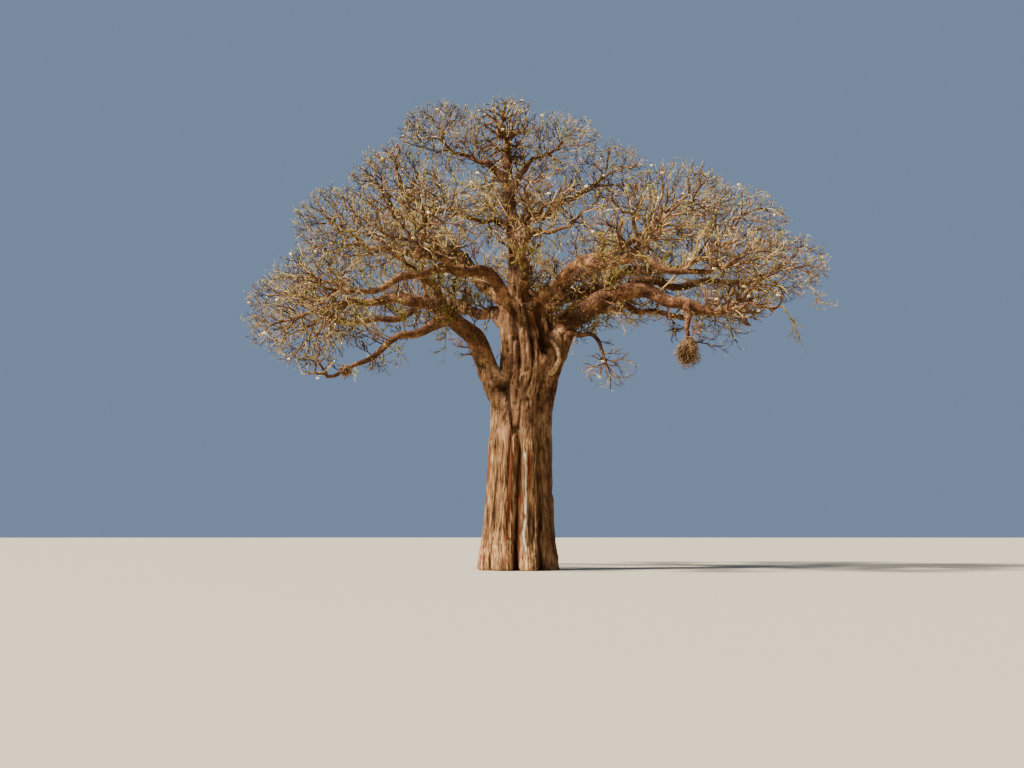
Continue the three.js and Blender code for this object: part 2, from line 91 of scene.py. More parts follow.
# %% A mesh from arrays
def make_piece(name, points, face_groups, materials, finish=None):
    """A finished object at the origin. points is (n, 3) in metres, and each face group is an array of corner
    numbers, one row for each face. finish is each face's material number, in the same order."""
    corners = np.concatenate([group.ravel() for group in face_groups])
    sizes = np.concatenate([np.full(len(group), group.shape[1]) for group in face_groups])
    mesh = bpy.data.meshes.new(name)
    mesh.vertices.add(len(points))
    mesh.vertices.foreach_set("co", points.astype(np.float32).ravel())
    mesh.loops.add(len(corners))
    mesh.loops.foreach_set("vertex_index", corners.astype(np.int32))
    mesh.polygons.add(len(sizes))
    mesh.polygons.foreach_set("loop_start", (np.cumsum(sizes) - sizes).astype(np.int32))
    mesh.polygons.foreach_set("use_smooth", np.ones(len(sizes), dtype=bool))
    if finish is not None:
        mesh.polygons.foreach_set("material_index", finish.astype(np.int32))
    for material in materials:
        mesh.materials.append(material)
    mesh.update(calc_edges=True)
    piece = put_in_scene(name, mesh)
    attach(piece, "root")
    print(name, "has", int((sizes - 2).sum()), "triangles")
    return piece


# %% Colours and nodes
def linear(code):
    """An sRGB hex colour as linear light: below 0.04045 a twelfth or so, above it a power of 2.4."""
    shares = [int(code[k : k + 2], 16) / 255 for k in (0, 2, 4)]
    return (*[s / 12.92 if s <= 0.04045 else ((s + 0.055) / 1.055) ** 2.4 for s in shares], 1)


def feed(tree, node, inputs):
    """Gives a node's inputs, by name or number. Each gets a constant or another node's output."""
    for name, value in inputs.items():
        if isinstance(value, bpy.types.NodeSocket):
            tree.links.new(value, node.inputs[name])
        else:
            node.inputs[name].default_value = value


def add_node(tree, kind, inputs=None, stops=None, **settings):
    """A node with its settings and inputs. Stops are the places and colours of a ramp."""
    node = tree.nodes.new(kind)
    for name, value in settings.items():
        setattr(node, name, value)
    feed(tree, node, inputs or {})
    for order, (place, code) in enumerate(stops or []):
        element = node.color_ramp.elements[order] if order < 2 else node.color_ramp.elements.new(place)
        element.position = place
        element.color = linear(code)
    return node


def matt_material(name, roughness, gloss=0.25):
    """A dull material, its tree and its surface. 1.5 is the usual index of refraction of bark, wood and paint."""
    material = bpy.data.materials.new(name)
    material.use_nodes = True
    tree = material.node_tree
    surface = tree.nodes["Principled BSDF"]
    feed(tree, surface, {"Roughness": roughness, "IOR": 1.5, "Specular IOR Level": gloss})
    return material, tree, surface


def plain_finish(name, code, roughness, gloss=0.3):
    """A matt finish of one colour, for pieces too small for a pattern and for the floor."""
    material, tree, surface = matt_material(name, roughness, gloss)
    feed(tree, surface, {"Base Color": linear(code)})
    return material


# %% [markdown]
# ## Floor
# The floor is not part of the tree. It is a pale matt disc, wide enough to reach the horizon on every side.

# %% Floor
FLOOR_REACH = 900


def on_circle(turn, height=0, radius=1):
    """Places at a turn in radians on a level circle: the radius times the cosine and the sine, and the height."""
    return np.stack(np.broadcast_arrays(radius * np.cos(turn), radius * np.sin(turn), height), axis=-1)


floor_corners = on_circle(2 * np.pi * np.arange(64) / 64, -0.004, FLOOR_REACH)
floor = put_in_scene("floor", bpy.data.meshes.new("floor"))
floor.data.from_pydata(floor_corners.tolist(), [], [tuple(range(64))])
floor.data.materials.append(plain_finish("matt_floor_paint", "b9ad96", 0.95, 0.5))

# %% [markdown]
# ## Chance and noise
# A tree looks random, but the lesson has to give the same tree each time. The first function is the solid
# model's own source of chance, repeated here so that the boughs bend the same way. The second gives smooth
# bumps in space, for bark.


# %% Chance and noise
def chance(seed, count):
    """A number from 0 to 1: the broken part of a large sine of the seed and the count."""
    wave = np.sin(seed * 12.9898 + count * 78.233) * 43758.5453
    return wave - np.floor(wave)


def soft_noise(places, seed):
    """Smooth bumps from -1 to 1 at places (..., 3). Random numbers sit on whole places, and the eight round a
    place are mixed by how near they are, eased so that there are no kinks."""
    lattice = np.random.default_rng(seed).uniform(-1, 1, (32, 32, 32))
    low = np.floor(places).astype(int)
    near = places - low
    near = near * near * (3 - 2 * near)
    total = np.zeros(places.shape[:-1])
    for corner in np.ndindex(2, 2, 2):
        weight = np.where(corner, near, 1 - near).prod(axis=-1)
        x, y, z = np.moveaxis((low + corner) % 32, -1, 0)
        total += weight * lattice[x, y, z]
    return total


def unit(ways):
    """Each way divided by its own length."""
    return ways / np.linalg.norm(ways, axis=-1, keepdims=True)


def smooth_step(value, start, end):
    """0 before start, 1 after end, and an eased ramp between them."""
    share = np.clip((value - start) / (end - start), 0, 1)
    return share * share * (3 - 2 * share)


# %% [markdown]
# ## The shape of the limbs
# The trunk is a stack of nearly round outlines with grooves between its flutes. Each bough is a cubic curve
# with its own slopes at foot and tip, that strays a little on the way. These are the solid model's numbers,
# in metres, so the bark lands exactly on the solids that it replaces.

# %% Trunk numbers
# Height, lean to the right, half the width
TRUNK_STATIONS = np.array([
    (0.0, 0.0, 1.93), (0.5, 0.0, 1.8), (1.5, 0.0, 1.69), (3.2, 0.03, 1.56), (5.0, 0.08, 1.48), (6.6, 0.1, 1.45),
    (7.9, 0.2, 1.48), (9.0, 0.48, 1.3), (10.3, 0.4, 1.3), (11.4, 0.23, 1.23), (12.3, 0.12, 1.12), (12.9, 0.04, 0.78),
])
# Bearing in degrees, depth, half the width in degrees, height where it ends
TRUNK_GROOVES = [
    (-95, 0.3, 8, 8.2), (-52, 0.26, 9, 11.8), (-8, 0.15, 11, 9.0), (38, 0.21, 10, 10.5),
    (84, 0.26, 9, 8.6), (128, 0.17, 10, 11.0), (171, 0.2, 9, 7.6), (-138, 0.12, 8, 7.0),
]
# The trunk's depth for each metre of width, and the height over which a groove fades
TRUNK_DEPTH, GROOVE_FADE = 0.92, 2.6
TRUNK_TOP = TRUNK_STATIONS[-1, 0]

# %% Bough numbers
# Name, foot (a point, or another bough and a share of its length), tip, slopes and radii
BOUGHS = [
    ("bough_left", (-0.15, -0.25, 6.5), (-3.67, -1.0, 11.75), (64, 30), (0.63, 0.34)),
    ("bough_left_reach", ("bough_left", 1), (-7.1, -1.5, 11.9), (30, -6), (0.33, 0.15)),
    ("bough_left_low", ("bough_left", 0.9), (-8.1, -2.5, 8.45), (-24, -32), (0.24, 0.08)),
    ("bough_left_branch", ("bough_left", 0.82), (-5.0, -3.6, 13.3), (35, 15), (0.23, 0.11)),
    ("bough_left_up", (-0.05, 0.0, 11.5), (-4.3, 0.1, 15.4), (46, 30), (0.4, 0.16)),
    ("bough_left_shoulder", ("bough_left_up", 0.62), (-6.9, 1.7, 15.2), (25, 12), (0.23, 0.11)),
    ("leader", (-0.05, 0.0, 11.7), (-0.57, 0.0, 18.71), (90, 86), (0.47, 0.21)),
    ("leader_left", ("leader", 0.89), (-3.0, -0.5, 19.15), (42, 2), (0.18, 0.085)),
    ("leader_right", ("leader", 0.84), (0.9, -0.3, 19.05), (40, 14), (0.185, 0.085)),
    ("leader_low_left", ("leader", 0.62), (-2.6, -1.9, 15.8), (12, 6), (0.16, 0.08)),
    ("leader_low_right", ("leader", 0.5), (2.1, -1.1, 15.5), (20, 14), (0.16, 0.08)),
    ("leader_shelf", ("leader", 0.66), (3.0, 0.9, 17.7), (6, 34), (0.22, 0.105)),
    ("leader_back", ("leader", 0.72), (-0.6, 3.6, 18.0), (30, 25), (0.2, 0.095)),
    ("bough_right", (0.65, -0.2, 7.6), (4.5, -1.0, 12.45), (73, 12), (0.63, 0.4)),
    ("bough_right_reach", ("bough_right", 1), (8.7, -1.5, 11.5), (14, -8), (0.39, 0.19)),
    ("bough_right_outer", ("bough_right", 0.88), (10.2, 0.1, 13.2), (32, 6), (0.27, 0.115)),
    ("bough_right_mid", (0.45, 0.3, 11.5), (8.0, 3.0, 14.5), (34, 6), (0.4, 0.15)),
    ("bough_right_high", (0.35, -0.25, 11.3), (5.3, -1.4, 14.9), (40, 30), (0.37, 0.15)),
    ("bough_droop", ("bough_right", 0.45), (3.6, -2.1, 9.7), (15, -80), (0.15, 0.075)),
    ("bough_hang", ("bough_right_reach", 0.72), (7.5, -1.7, 10.15), (-45, -85), (0.16, 0.09)),
    ("bough_front_left", (-0.15, -0.35, 11.7), (-3.9, -6.5, 12.9), (36, -4), (0.32, 0.15)),
    ("bough_front", (0.1, -0.35, 12.2), (0.2, -5.8, 13.9), (44, 8), (0.27, 0.13)),
    ("bough_front_right", (0.4, -0.4, 11.6), (4.5, -6.6, 12.7), (38, -6), (0.33, 0.15)),
    ("bough_front_left_low", ("bough_front_left", 0.6), (-6.9, -5.6, 11.6), (20, 2), (0.22, 0.11)),
    ("bough_front_right_low", ("bough_front_right", 0.6), (8.0, -5.3, 12.5), (22, 4), (0.22, 0.11)),
    ("bough_back_left", (-0.1, 0.4, 10.7), (-4.8, 6.5, 13.3), (46, 10), (0.38, 0.15)),
    ("bough_back", (0.15, 0.45, 11.5), (0.4, 6.8, 14.0), (44, 12), (0.35, 0.14)),
    ("bough_back_right", (0.4, 0.4, 10.5), (5.0, 6.3, 13.1), (46, 10), (0.39, 0.15)),
    ("bough_back_left_low", ("bough_back_left", 0.55), (-8.3, 4.6, 12.1), (20, 2), (0.24, 0.115)),
    ("bough_back_right_low", ("bough_back_right", 0.55), (8.6, 5.3, 12.5), (20, 4), (0.24, 0.115)),
]
RADII = {name: radii for name, _, _, _, radii in BOUGHS}
# The gap before a bough that goes on from another. Handles and straying are shares of a bough's reach
CLEARANCE, HANDLE, WANDER = 0.00035, 0.36, 0.035
WANDER_TURNS = (1.4, 1.9)
BOUGH_TAPER = 1.15
UP = np.array([0, 0, 1])


# %% Bough curves
def level_heading(start, end, slope):
    """The level way from start to end, tilted up by slope degrees."""
    level = unit(np.array([end[0] - start[0], end[1] - start[1], 0.0]))
    return level * np.cos(np.radians(slope)) + UP * np.sin(np.radians(slope))


def heading_of(curve, share):
    """The way from just before a share of the curve to just after it."""
    before, after = np.clip([share - 1e-4, share + 1e-4], 0, 1)
    return unit(curve(after) - curve(before))


def bough_curve(order, foot, tip, slopes):
    """Points at shares of a cubic Bezier curve from foot to tip. Its two handles are 0.36 of the reach long, and
    it strays to the side and up by waves that fade with the squared sine of the share towards both ends."""
    on_bough = isinstance(foot[0], str)
    start = curves[foot[0]](foot[1]) if on_bough else np.array(foot)
    if on_bough and foot[1] == 1:
        leaving = heading_of(curves[foot[0]], 1)
        start = start + leaving * CLEARANCE
    else:
        leaving = level_heading(start, tip, slopes[0])
    end = np.array(tip)
    reach = np.linalg.norm(end - start)
    knees = start + leaving * HANDLE * reach, end - level_heading(start, tip, slopes[1]) * HANDLE * reach
    sideways = unit(np.array([start[1] - end[1], end[0] - start[0], 0.0]))

    def point(share):
        s = np.asarray(share, dtype=float)[..., None]
        smooth = (1 - s) ** 3 * start + 3 * (1 - s) ** 2 * s * knees[0] + 3 * (1 - s) * s**2 * knees[1] + s**3 * end
        size = WANDER * reach * np.sin(np.pi * s) ** 2
        side, rise = [size * np.sin(2 * np.pi * (WANDER_TURNS[k] * s + chance(order, k + 1))) for k in (0, 1)]
        return smooth + side * sideways + rise * UP

    return point


curves = {}
for order, (name, foot, tip, slopes, _) in enumerate(BOUGHS):
    curves[name] = bough_curve(order, foot, tip, slopes)
print(len(curves), "bough curves")


# %% [markdown]
# ## Tubes along paths
# A limb or twig is a tube: rings of points set square to a path. Rings must not twist against each other, so
# the direction of each ring's first point is carried along from the last ring. Thousands of twigs with the
# same count of rings are worked out in one go.


# %% Tubes along paths
# A way that no limb follows, from which the first carried direction is worked out
OFF_AXIS = (0.31, 0.87, 0.38)
def rings_along(paths, radii, sides):
    """Rings (tube, ring, side, 3): the path's point, plus the radius times the cosine and sine of the turn along
    two ways square to the path. The first way is carried along by taking out of it what lies along the path."""
    along = unit(np.gradient(paths, axis=1))
    carried = np.cross(along[:, 0], OFF_AXIS)
    across = np.empty_like(along)
    for ring in range(paths.shape[1]):
        carried = unit(carried - (carried * along[:, ring]).sum(-1, keepdims=True) * along[:, ring])
        across[:, ring] = carried
    upright = np.cross(along, across)
    turn = 2 * np.pi * np.arange(sides) / sides
    round_it = across[:, :, None] * np.cos(turn)[:, None] + upright[:, :, None] * np.sin(turn)[:, None]
    return paths[:, :, None] + radii[:, :, None, None] * round_it


def close_tubes(rings, tips):
    """The points and faces of tubes: four-cornered faces between rings, a fan to the tip and a flat foot. Returns
    points, three face groups, and for each group the number of the tube that each face belongs to."""
    count, levels, sides, _ = rings.shape
    points = np.concatenate([rings.reshape(count, -1, 3), tips[:, None]], axis=1)
    side = np.arange(sides)
    near, far = side, (side + 1) % sides
    level = sides * np.arange(levels - 1)[:, None]
    walls = np.stack([level + near, level + far, level + far + sides, level + near + sides], axis=-1).reshape(-1, 4)
    top = sides * (levels - 1)
    fan = np.stack([top + near, top + far, np.full(sides, levels * sides)], axis=-1)
    foot = side[None, ::-1]
    first = (np.arange(count) * points.shape[1])[:, None, None]
    groups = [(first + faces).reshape(-1, faces.shape[1]) for faces in (walls, fan, foot)]
    owners = [np.repeat(np.arange(count), len(faces)) for faces in (walls, fan, foot)]
    return points.reshape(-1, 3), groups, owners

def pointed_tubes(paths, radii, sides):
    """Closed tubes that end in a point at each path's last place."""
    return close_tubes(rings_along(paths, radii, sides)[:, :-1], paths[:, -1])


class Heap:
    """Many small closed shapes that are gathered into one mesh, each with its material number."""

    def __init__(self):
        self.points, self.groups, self.finish, self.count = [], [], [], 0

    def add(self, shapes, finish):
        points, groups, owners = shapes
        for faces, owner in zip(groups, owners):
            self.groups.append(faces + self.count)
            self.finish.append(np.broadcast_to(finish, owner.max() + 1)[owner])
        self.points.append(points)
        self.count += len(points)

    def make(self, name, materials):
        return make_piece(name, np.concatenate(self.points), self.groups, materials, np.concatenate(self.finish))


# %% [markdown]
# ## Bark
# Baobab bark is smooth, thick and pinkish brown where it is whole, with fine wrinkles. Low on the trunk it has
# been pulled off for its fibre again and again, and has healed into long upright ridges of tan and cream with
# rust-red edges. Both are dull: roughness 0.85 and the usual index of refraction of bark, 1.5. The colours
# come from noise in object space, so they stay put in every view. Ridges a hand wide are in the mesh, and
# the finer grain is bump. Shade is also painted into the colour: darker in the folds of the grain and between
# the ridges, lighter on the ridges' crests as painted highlight, darker in the trunk's grooves, folds and seams,
# and darker on the trunk's right side, which is turned from the lamp.


# %% Wrinkled bark
def stretched_noise(tree, place, repeats):
    """Fine noise with this many bumps in a metre along x, y and z."""
    places = add_node(tree, "ShaderNodeMapping", {"Vector": place, "Scale": repeats})
    settings = {"Vector": places.outputs["Vector"], "Scale": 1.0, "Detail": 9.0, "Roughness": 0.72}
    return add_node(tree, "ShaderNodeTexNoise", settings).outputs["Fac"]


def bark(name, patches, tones, repeats, fold_shade_tones, depth, roughness=0.85, cover=None):
    """Tones mixed by soft noise and darkened in the folds of fine noise, with bump to a depth in metres. The fine
    noise is also the bump's height, so this darkening is painted shade in the folds. A cover is a function that
    lays more over the colour and the height."""
    material, tree, surface = matt_material(name, roughness)
    place = add_node(tree, "ShaderNodeTexCoord").outputs["Object"]
    noise = add_node(tree, "ShaderNodeTexNoise", {"Vector": place, **patches})
    whole = add_node(tree, "ShaderNodeValToRGB", {"Fac": noise.outputs["Fac"]}, tones)
    height = stretched_noise(tree, place, repeats)
    # Painted shade: the fold tones darken the colour where the bump's noise is low
    folds = add_node(tree, "ShaderNodeValToRGB", {"Fac": height}, fold_shade_tones)
    creased = add_node(tree, "ShaderNodeMix", {0: 0.85, 6: whole.outputs["Color"], 7: folds.outputs["Color"]},
                       data_type="RGBA", blend_type="MULTIPLY")
    colour = creased.outputs[2]
    if cover:
        colour, height = cover(tree, place, colour, height)
    bump = add_node(tree, "ShaderNodeBump", {"Height": height, "Strength": 0.8, "Distance": depth})
    feed(tree, surface, {"Base Color": colour, "Normal": bump.outputs["Normal"]})
    return material


# %% Bark of the trunk: whole above, healed ridges below
def healed_ridges(tree, place, colour, height):
    """Ridges about 75 mm wide and 0.9 m long where the bark was stripped, tan and cream, darker in their valleys as
    painted shade and lighter on their crests as painted highlight. Then rust, the groove mark's painted shade, the
    hollow and cream scars. Each is mixed in by the mark of its name on the mesh."""
    grain = stretched_noise(tree, place, (13.5, 13.5, 1.15))
    # The ridge tones follow the grain that also raises the bump: the dark brown of the valleys is painted shade, and
    # the cream of the crests is partly painted highlight
    ridges = add_node(tree, "ShaderNodeValToRGB", {"Fac": grain},
                      [(0.37, "2b180e"), (0.65, "e2c497"), (0.43, "64432d"), (0.49, "94704d"), (0.57, "b99267")])
    # The groove layer's dark red-brown is painted shade
    layers = {"stripped": ridges.outputs["Color"], "rust": linear("7c3418"), "groove": linear("381a10"),
              "hollow": linear("855c3c"), "cream": linear("dcd2bf")}
    for mark, layer in layers.items():
        share = add_node(tree, "ShaderNodeAttribute", attribute_name=mark).outputs["Fac"]
        colour = add_node(tree, "ShaderNodeMix", {0: share, 6: colour, 7: layer}, data_type="RGBA").outputs[2]
    return colour, add_node(tree, "ShaderNodeMath", {0: grain, 1: height}, operation="ADD").outputs[0]


# Trunk: dull and rough, pinkish brown above, wrinkles about 100 mm apart and 0.5 m long, with painted shade in their
# folds
trunk_bark = bark("healed_baobab_bark", {"Scale": 0.9, "Detail": 6.0, "Roughness": 0.65},
                  [(0.3, "5f4230"), (0.68, "d6b28c"), (0.5, "a07c5c")], (9.5, 9.5, 2.0),
                  [(0.4, "54402f"), (0.5, "ffffff"), (0.455, "cab8a6")], 0.09, 0.86, healed_ridges)


# %% Bark of the boughs
def whole_bark(name, tones, patch_size, bump_depth):
    """Smooth bark: three tones in patches of the given size in metres, and wrinkles about 110 mm apart with
    painted shade in their folds.
    """
    return bark(name, {"Scale": 1 / patch_size, "Detail": 7.0, "Roughness": 0.68},
                list(zip((0.3, 0.7, 0.5), tones)), (9.0, 9.0, 9.0),
                [(0.38, "7d6c62"), (0.54, "ffffff"), (0.46, "d6cac0")], bump_depth)


# Old bark looks like blotched, wrinkled hide, and the young bark of twigs is greyer and finer
bough_bark = whole_bark("whole_baobab_bark", ("462f20", "bd9570", "7f5d44"), 0.7, 0.09)
twig_bark = whole_bark("young_baobab_bark", ("46332a", "bf9b71", "7f6148"), 0.35, 0.03)

# %% [markdown]
# ## Trunk
# On the real tree the trunk and the feet of its boughs are one piece of wood, with rounded crotches. Built as
# crossing tubes they would meet in hard creases. So the trunk's grid and the swollen bough feet are welded by
# a voxel remesh, which is like dipping them in wax, and smoothed. The relief of the bark is pushed out after
# that, because smoothing would melt it.


# %% Trunk outline
def trunk_profile(height, column):
    """Lean (column 1) or half width (column 2) at a height: the stations joined by straight lines, averaged over
    0.6 m up and down so that no kinks show."""
    offsets = np.linspace(-0.6, 0.6, 7)
    samples = np.clip(np.asarray(height)[..., None] + offsets, 0, TRUNK_TOP)
    return np.interp(samples, TRUNK_STATIONS[:, 0], TRUNK_STATIONS[:, column]).mean(axis=-1)


def off_bearing(bearing, degrees):
    """Degrees between a bearing in radians and one in degrees, the short way round."""
    turn = bearing - np.radians(degrees)
    return np.degrees(np.abs(np.arctan2(np.sin(turn), np.cos(turn))))


def groove_depth(bearing, height):
    """Sum over the grooves of depth, times a bell curve round the groove's bearing, times a fade near its end.
    At the ground every groove is 1.7 times as deep, which parts the roots."""
    rooting = 1 + 0.7 * np.exp(-height / 0.9)
    total = 0
    for at, depth, width, end in TRUNK_GROOVES:
        across = off_bearing(bearing, at) / width
        total = total + depth * rooting * smooth_step(end - height, 0, GROOVE_FADE) * np.exp(-across * across)
    return total


# Grid of bearings and heights. The top is a dome: over 11.6 m the width shrinks as on a ball
TRUNK_GRID, DOME_FROM = (200, 150), 11.6
bearings, heights = np.meshgrid(np.linspace(0, 2 * np.pi, TRUNK_GRID[0], endpoint=False),
                                np.linspace(0, TRUNK_TOP, TRUNK_GRID[1]))
dome = np.sqrt(1 - 0.9 * np.clip((heights - DOME_FROM) / (TRUNK_TOP - DOME_FROM), 0, 1) ** 2)
radius = (trunk_profile(heights, 2) - 1.25 * groove_depth(bearings, heights)) * dome
trunk_rings = on_circle(bearings, heights, radius) * (1, TRUNK_DEPTH, 1)
trunk_rings[..., 0] += trunk_profile(heights, 1)
trunk_shapes = [close_tubes(trunk_rings[None], np.array([[0.06, 0, TRUNK_TOP + 0.1]]))]


# %% Feet of the boughs on the trunk
def spaced_shares(curve, step):
    """Shares that cut a curve into pieces of equal length, and the length up to each."""
    fine = np.linspace(0, 1, 400)
    steps = np.linalg.norm(np.diff(curve(fine), axis=0), axis=1)
    way = np.concatenate([[0], np.cumsum(steps)])
    count = max(6, int(np.ceil(way[-1] / step)))
    ways = np.linspace(0, way[-1], count + 1)
    return np.interp(ways, way, fine), ways


def bough_radius(name, share):
    """The tip's radius, plus what is left of the foot's by a power of the share still to go."""
    foot, tip = RADII[name]
    return tip + (foot - tip) * (1 - share) ** BOUGH_TAPER


# How much a foot swells, the length over which that fades, and how far trunk and bough overlap
FOOT_SWELL, FOOT_FADE, FOOT_OVERLAP = 0.18, 0.5, 0.8
TRUNK_FOOT = {}
for name, foot, _, _, _ in BOUGHS:
    if isinstance(foot[0], str):
        continue
    shares, ways = spaced_shares(curves[name], 0.1)
    path = curves[name](shares)
    off_axis = np.hypot(path[:, 0] - trunk_profile(path[:, 2], 1), path[:, 1] / TRUNK_DEPTH)
    is_out = (off_axis > trunk_profile(path[:, 2], 2) - 0.05) | (path[:, 2] > TRUNK_TOP + 0.2)
    leaves_at = ways[np.argmax(is_out)]
    TRUNK_FOOT[name] = leaves_at + FOOT_OVERLAP
    kept = ways < leaves_at + 2 * FOOT_OVERLAP
    beyond = np.clip(ways[kept] - leaves_at, 0, None)
    swell = 1 + FOOT_SWELL * np.exp(-beyond / FOOT_FADE)
    shrink = 1 - 0.24 * smooth_step(beyond, FOOT_OVERLAP, 2 * FOOT_OVERLAP)
    radii = bough_radius(name, shares[kept]) * swell * shrink
    trunk_shapes.append(pointed_tubes(path[None, kept], radii[None], 32))
print(len(trunk_shapes) - 1, "bough feet on the trunk")

# %% Folds and scars
# Folds between the columns under the fork: bearing at the foot and at the top, low and high end, depth and
# half width in degrees
FOLDS = [
    (-95, -142, 5.6, 9.0, 0.20, 7), (-52, -56, 9.5, 12.9, 0.24, 8), (-30, -22, 5.0, 11.5, 0.16, 6),
    (-112, -118, 8.4, 13.0, 0.18, 8), (-80, -84, 8.8, 13.0, 0.20, 7), (-66, -70, 6.2, 10.5, 0.08, 4),
    (62, 58, 7.5, 12.9, 0.20, 7), (104, 112, 7.0, 12.9, 0.20, 8), (150, 160, 6.0, 9.5, 0.18, 7),
    (20, 12, 6.5, 9.5, 0.16, 7),
]
# Scars of old bark stripping: bearing, low and high end, half width in degrees
CREAM_SCARS = [(-82, 0.7, 5.4, 1.15), (14, 1.0, 5.5, 1.2), (98, 0.8, 6.0, 1.3), (160, 0.4, 4.6, 1.0)]
RUST_SCARS = [(-163, 3.6, 6.5, 5.0), (-109, 0.1, 6.3, 2.2), (-90, 0.1, 3.6, 2.6), (-76, 3.4, 5.4, 2.2),
              (-30, 0.4, 4.5, 2.6), (-150, 0.2, 2.6, 2.2), (62, 0.3, 4.0, 3.0), (140, 0.5, 5.0, 3.2)]


def within(height, low, high, fade):
    """1 between the low and high end, eased to 0 over the fade inside both."""
    return smooth_step(height, low, low + fade) * smooth_step(high - height, 0, fade)


def fold_depth(bearing, height):
    """Bell curves round bearings that drift with the height, faded over 0.9 m at both ends."""
    total = 0
    for low_at, high_at, low, high, depth, width in FOLDS:
        share = np.clip((height - low) / (high - low), 0, 1)
        across = off_bearing(bearing, low_at + (high_at - low_at) * share) / width
        total = total + depth * within(height, low, high, 0.9) * np.exp(-across**2)
    return total


def scar_share(bearing, height, scars, seed):
    """1 inside a scar and 0 outside. A scar sways and breaks up by soft noise of the height."""
    sway = soft_noise(np.stack([height * 1.3, height * 0, height * 0 + seed], axis=-1), 51)
    share = np.zeros(len(height))
    for order, (at, low, high, width) in enumerate(scars):
        ragged = soft_noise(np.stack([bearing * 9, height * 3.4, height * 0 + order + seed], axis=-1), 52)
        across = off_bearing(bearing, at + 2.4 * sway) / width / (1 + 0.75 * ragged)
        scar = smooth_step(1.15 - across, 0, 0.4) * within(height, low, high, 0.4) * smooth_step(ragged, -0.6, -0.2)
        share = np.maximum(share, scar)
    return share


# %% Weld and smooth
VOXEL = 0.048


def read_rows(items, title, width, kind=float):
    """One property of all items of a mesh, as rows of an array."""
    values = np.empty(len(items) * width, dtype=kind)
    items.foreach_get(title, values)
    return values.reshape(-1, width)


rough_points, rough_faces, start = [], [], 0
for points, groups, _ in trunk_shapes:
    rough_points.append(points)
    rough_faces += [tuple(row) for group in groups for row in (group + start).tolist()]
    start += len(points)
rough = bpy.data.meshes.new("rough_trunk")
rough.from_pydata(np.concatenate(rough_points).tolist(), [], rough_faces)
wax = put_in_scene("rough_trunk", rough)
weld = wax.modifiers.new("weld", "REMESH")
weld.mode, weld.voxel_size = "VOXEL", VOXEL
melt = wax.modifiers.new("melt", "SMOOTH")
melt.factor, melt.iterations = 0.5, 14
melted = wax.evaluated_get(bpy.context.evaluated_depsgraph_get())
welded = melted.to_mesh()
points, normals = read_rows(welded.vertices, "co", 3), read_rows(welded.vertex_normals, "vector", 3)
quads = read_rows(welded.loops, "vertex_index", 1, np.int32).reshape(-1, 4)
melted.to_mesh_clear()
bpy.data.objects.remove(wax)
bpy.data.meshes.remove(rough)
print("welded into", len(quads), "faces")

# %% Relief of the trunk
height = points[:, 2]
leaning = points[:, 0] - trunk_profile(height, 1)
bearing = np.arctan2(points[:, 1] / TRUNK_DEPTH, leaning)
off_trunk = np.hypot(leaning, points[:, 1] / TRUNK_DEPTH) / trunk_profile(height, 2)
on_trunk = off_trunk < 1.25
round_places = on_circle(bearing, height, 1.5)


def bark_noise(across, up, seed):
    """Soft noise wrapped round the trunk, with so many bumps in a metre across and up."""
    return soft_noise(round_places * (across, across, up), seed)


def dark_lines(noise):
    """1 where the noise crosses zero, and 0 a fifth of its height away, which draws thin winding lines."""
    return np.clip(1 - 5 * np.abs(noise), 0, 1)


# Below about 7 m the bark has been stripped, but for an old whole part on the right. That right side is turned
# from the lamp, and its bark is also painted darker as shade through the groove mark.
old_bark_in_painted_shade = np.exp(-(off_bearing(bearing, -18) / 28) ** 4) * on_trunk * smooth_step(12.4 - height, 0, 2)
stripped = smooth_step(6.9 + 0.9 * bark_noise(2.6, 0.5, 11) - height, 0, 1.1) * on_trunk * (1 - 0.75 * old_bark_in_painted_shade)
whole = 1 - stripped
fluting = bark_noise(2.6, 0.25, 12)
healed = 1 - 2 * np.abs(bark_noise(5.2, 0.5, 13))
healed_fine = bark_noise(10, 1.1, 14)
lumps = soft_noise(points * 1.7, 15)
creases = soft_noise(points * (2.2, 2.2, 6.5), 16)
cracks = dark_lines(bark_noise(4.2, 1.3, 17))
seams = dark_lines(bark_noise(2.9, 0.42, 18)) * smooth_step(13.6 - height, 0, 2)
# A worn orange-brown hollow in the front of the fork
off_hollow = np.hypot((points[:, 0] - 0.72) / 0.38, height - 11.6)
hollow = 0.85 * smooth_step(1 - off_hollow, 0, 0.6) * (points[:, 1] < -0.3)

push = (0.05 + 0.05 * whole) * fluting + stripped * (0.06 * healed + 0.025 * healed_fine)
push += whole * (0.035 * lumps + 0.016 * creases - 0.045 * cracks) - (0.05 + 0.05 * whole) * seams
push -= fold_depth(bearing, height) * (off_trunk < 1.3)
push -= 0.16 * hollow
push *= smooth_step(height, 0, 0.15) * 0.8 + 0.2
points = points + normals * push[:, None]
points[:, 2] = np.clip(points[:, 2], 0, None)
trunk = make_piece("trunk_with_bough_feet", points, [quads], [trunk_bark])

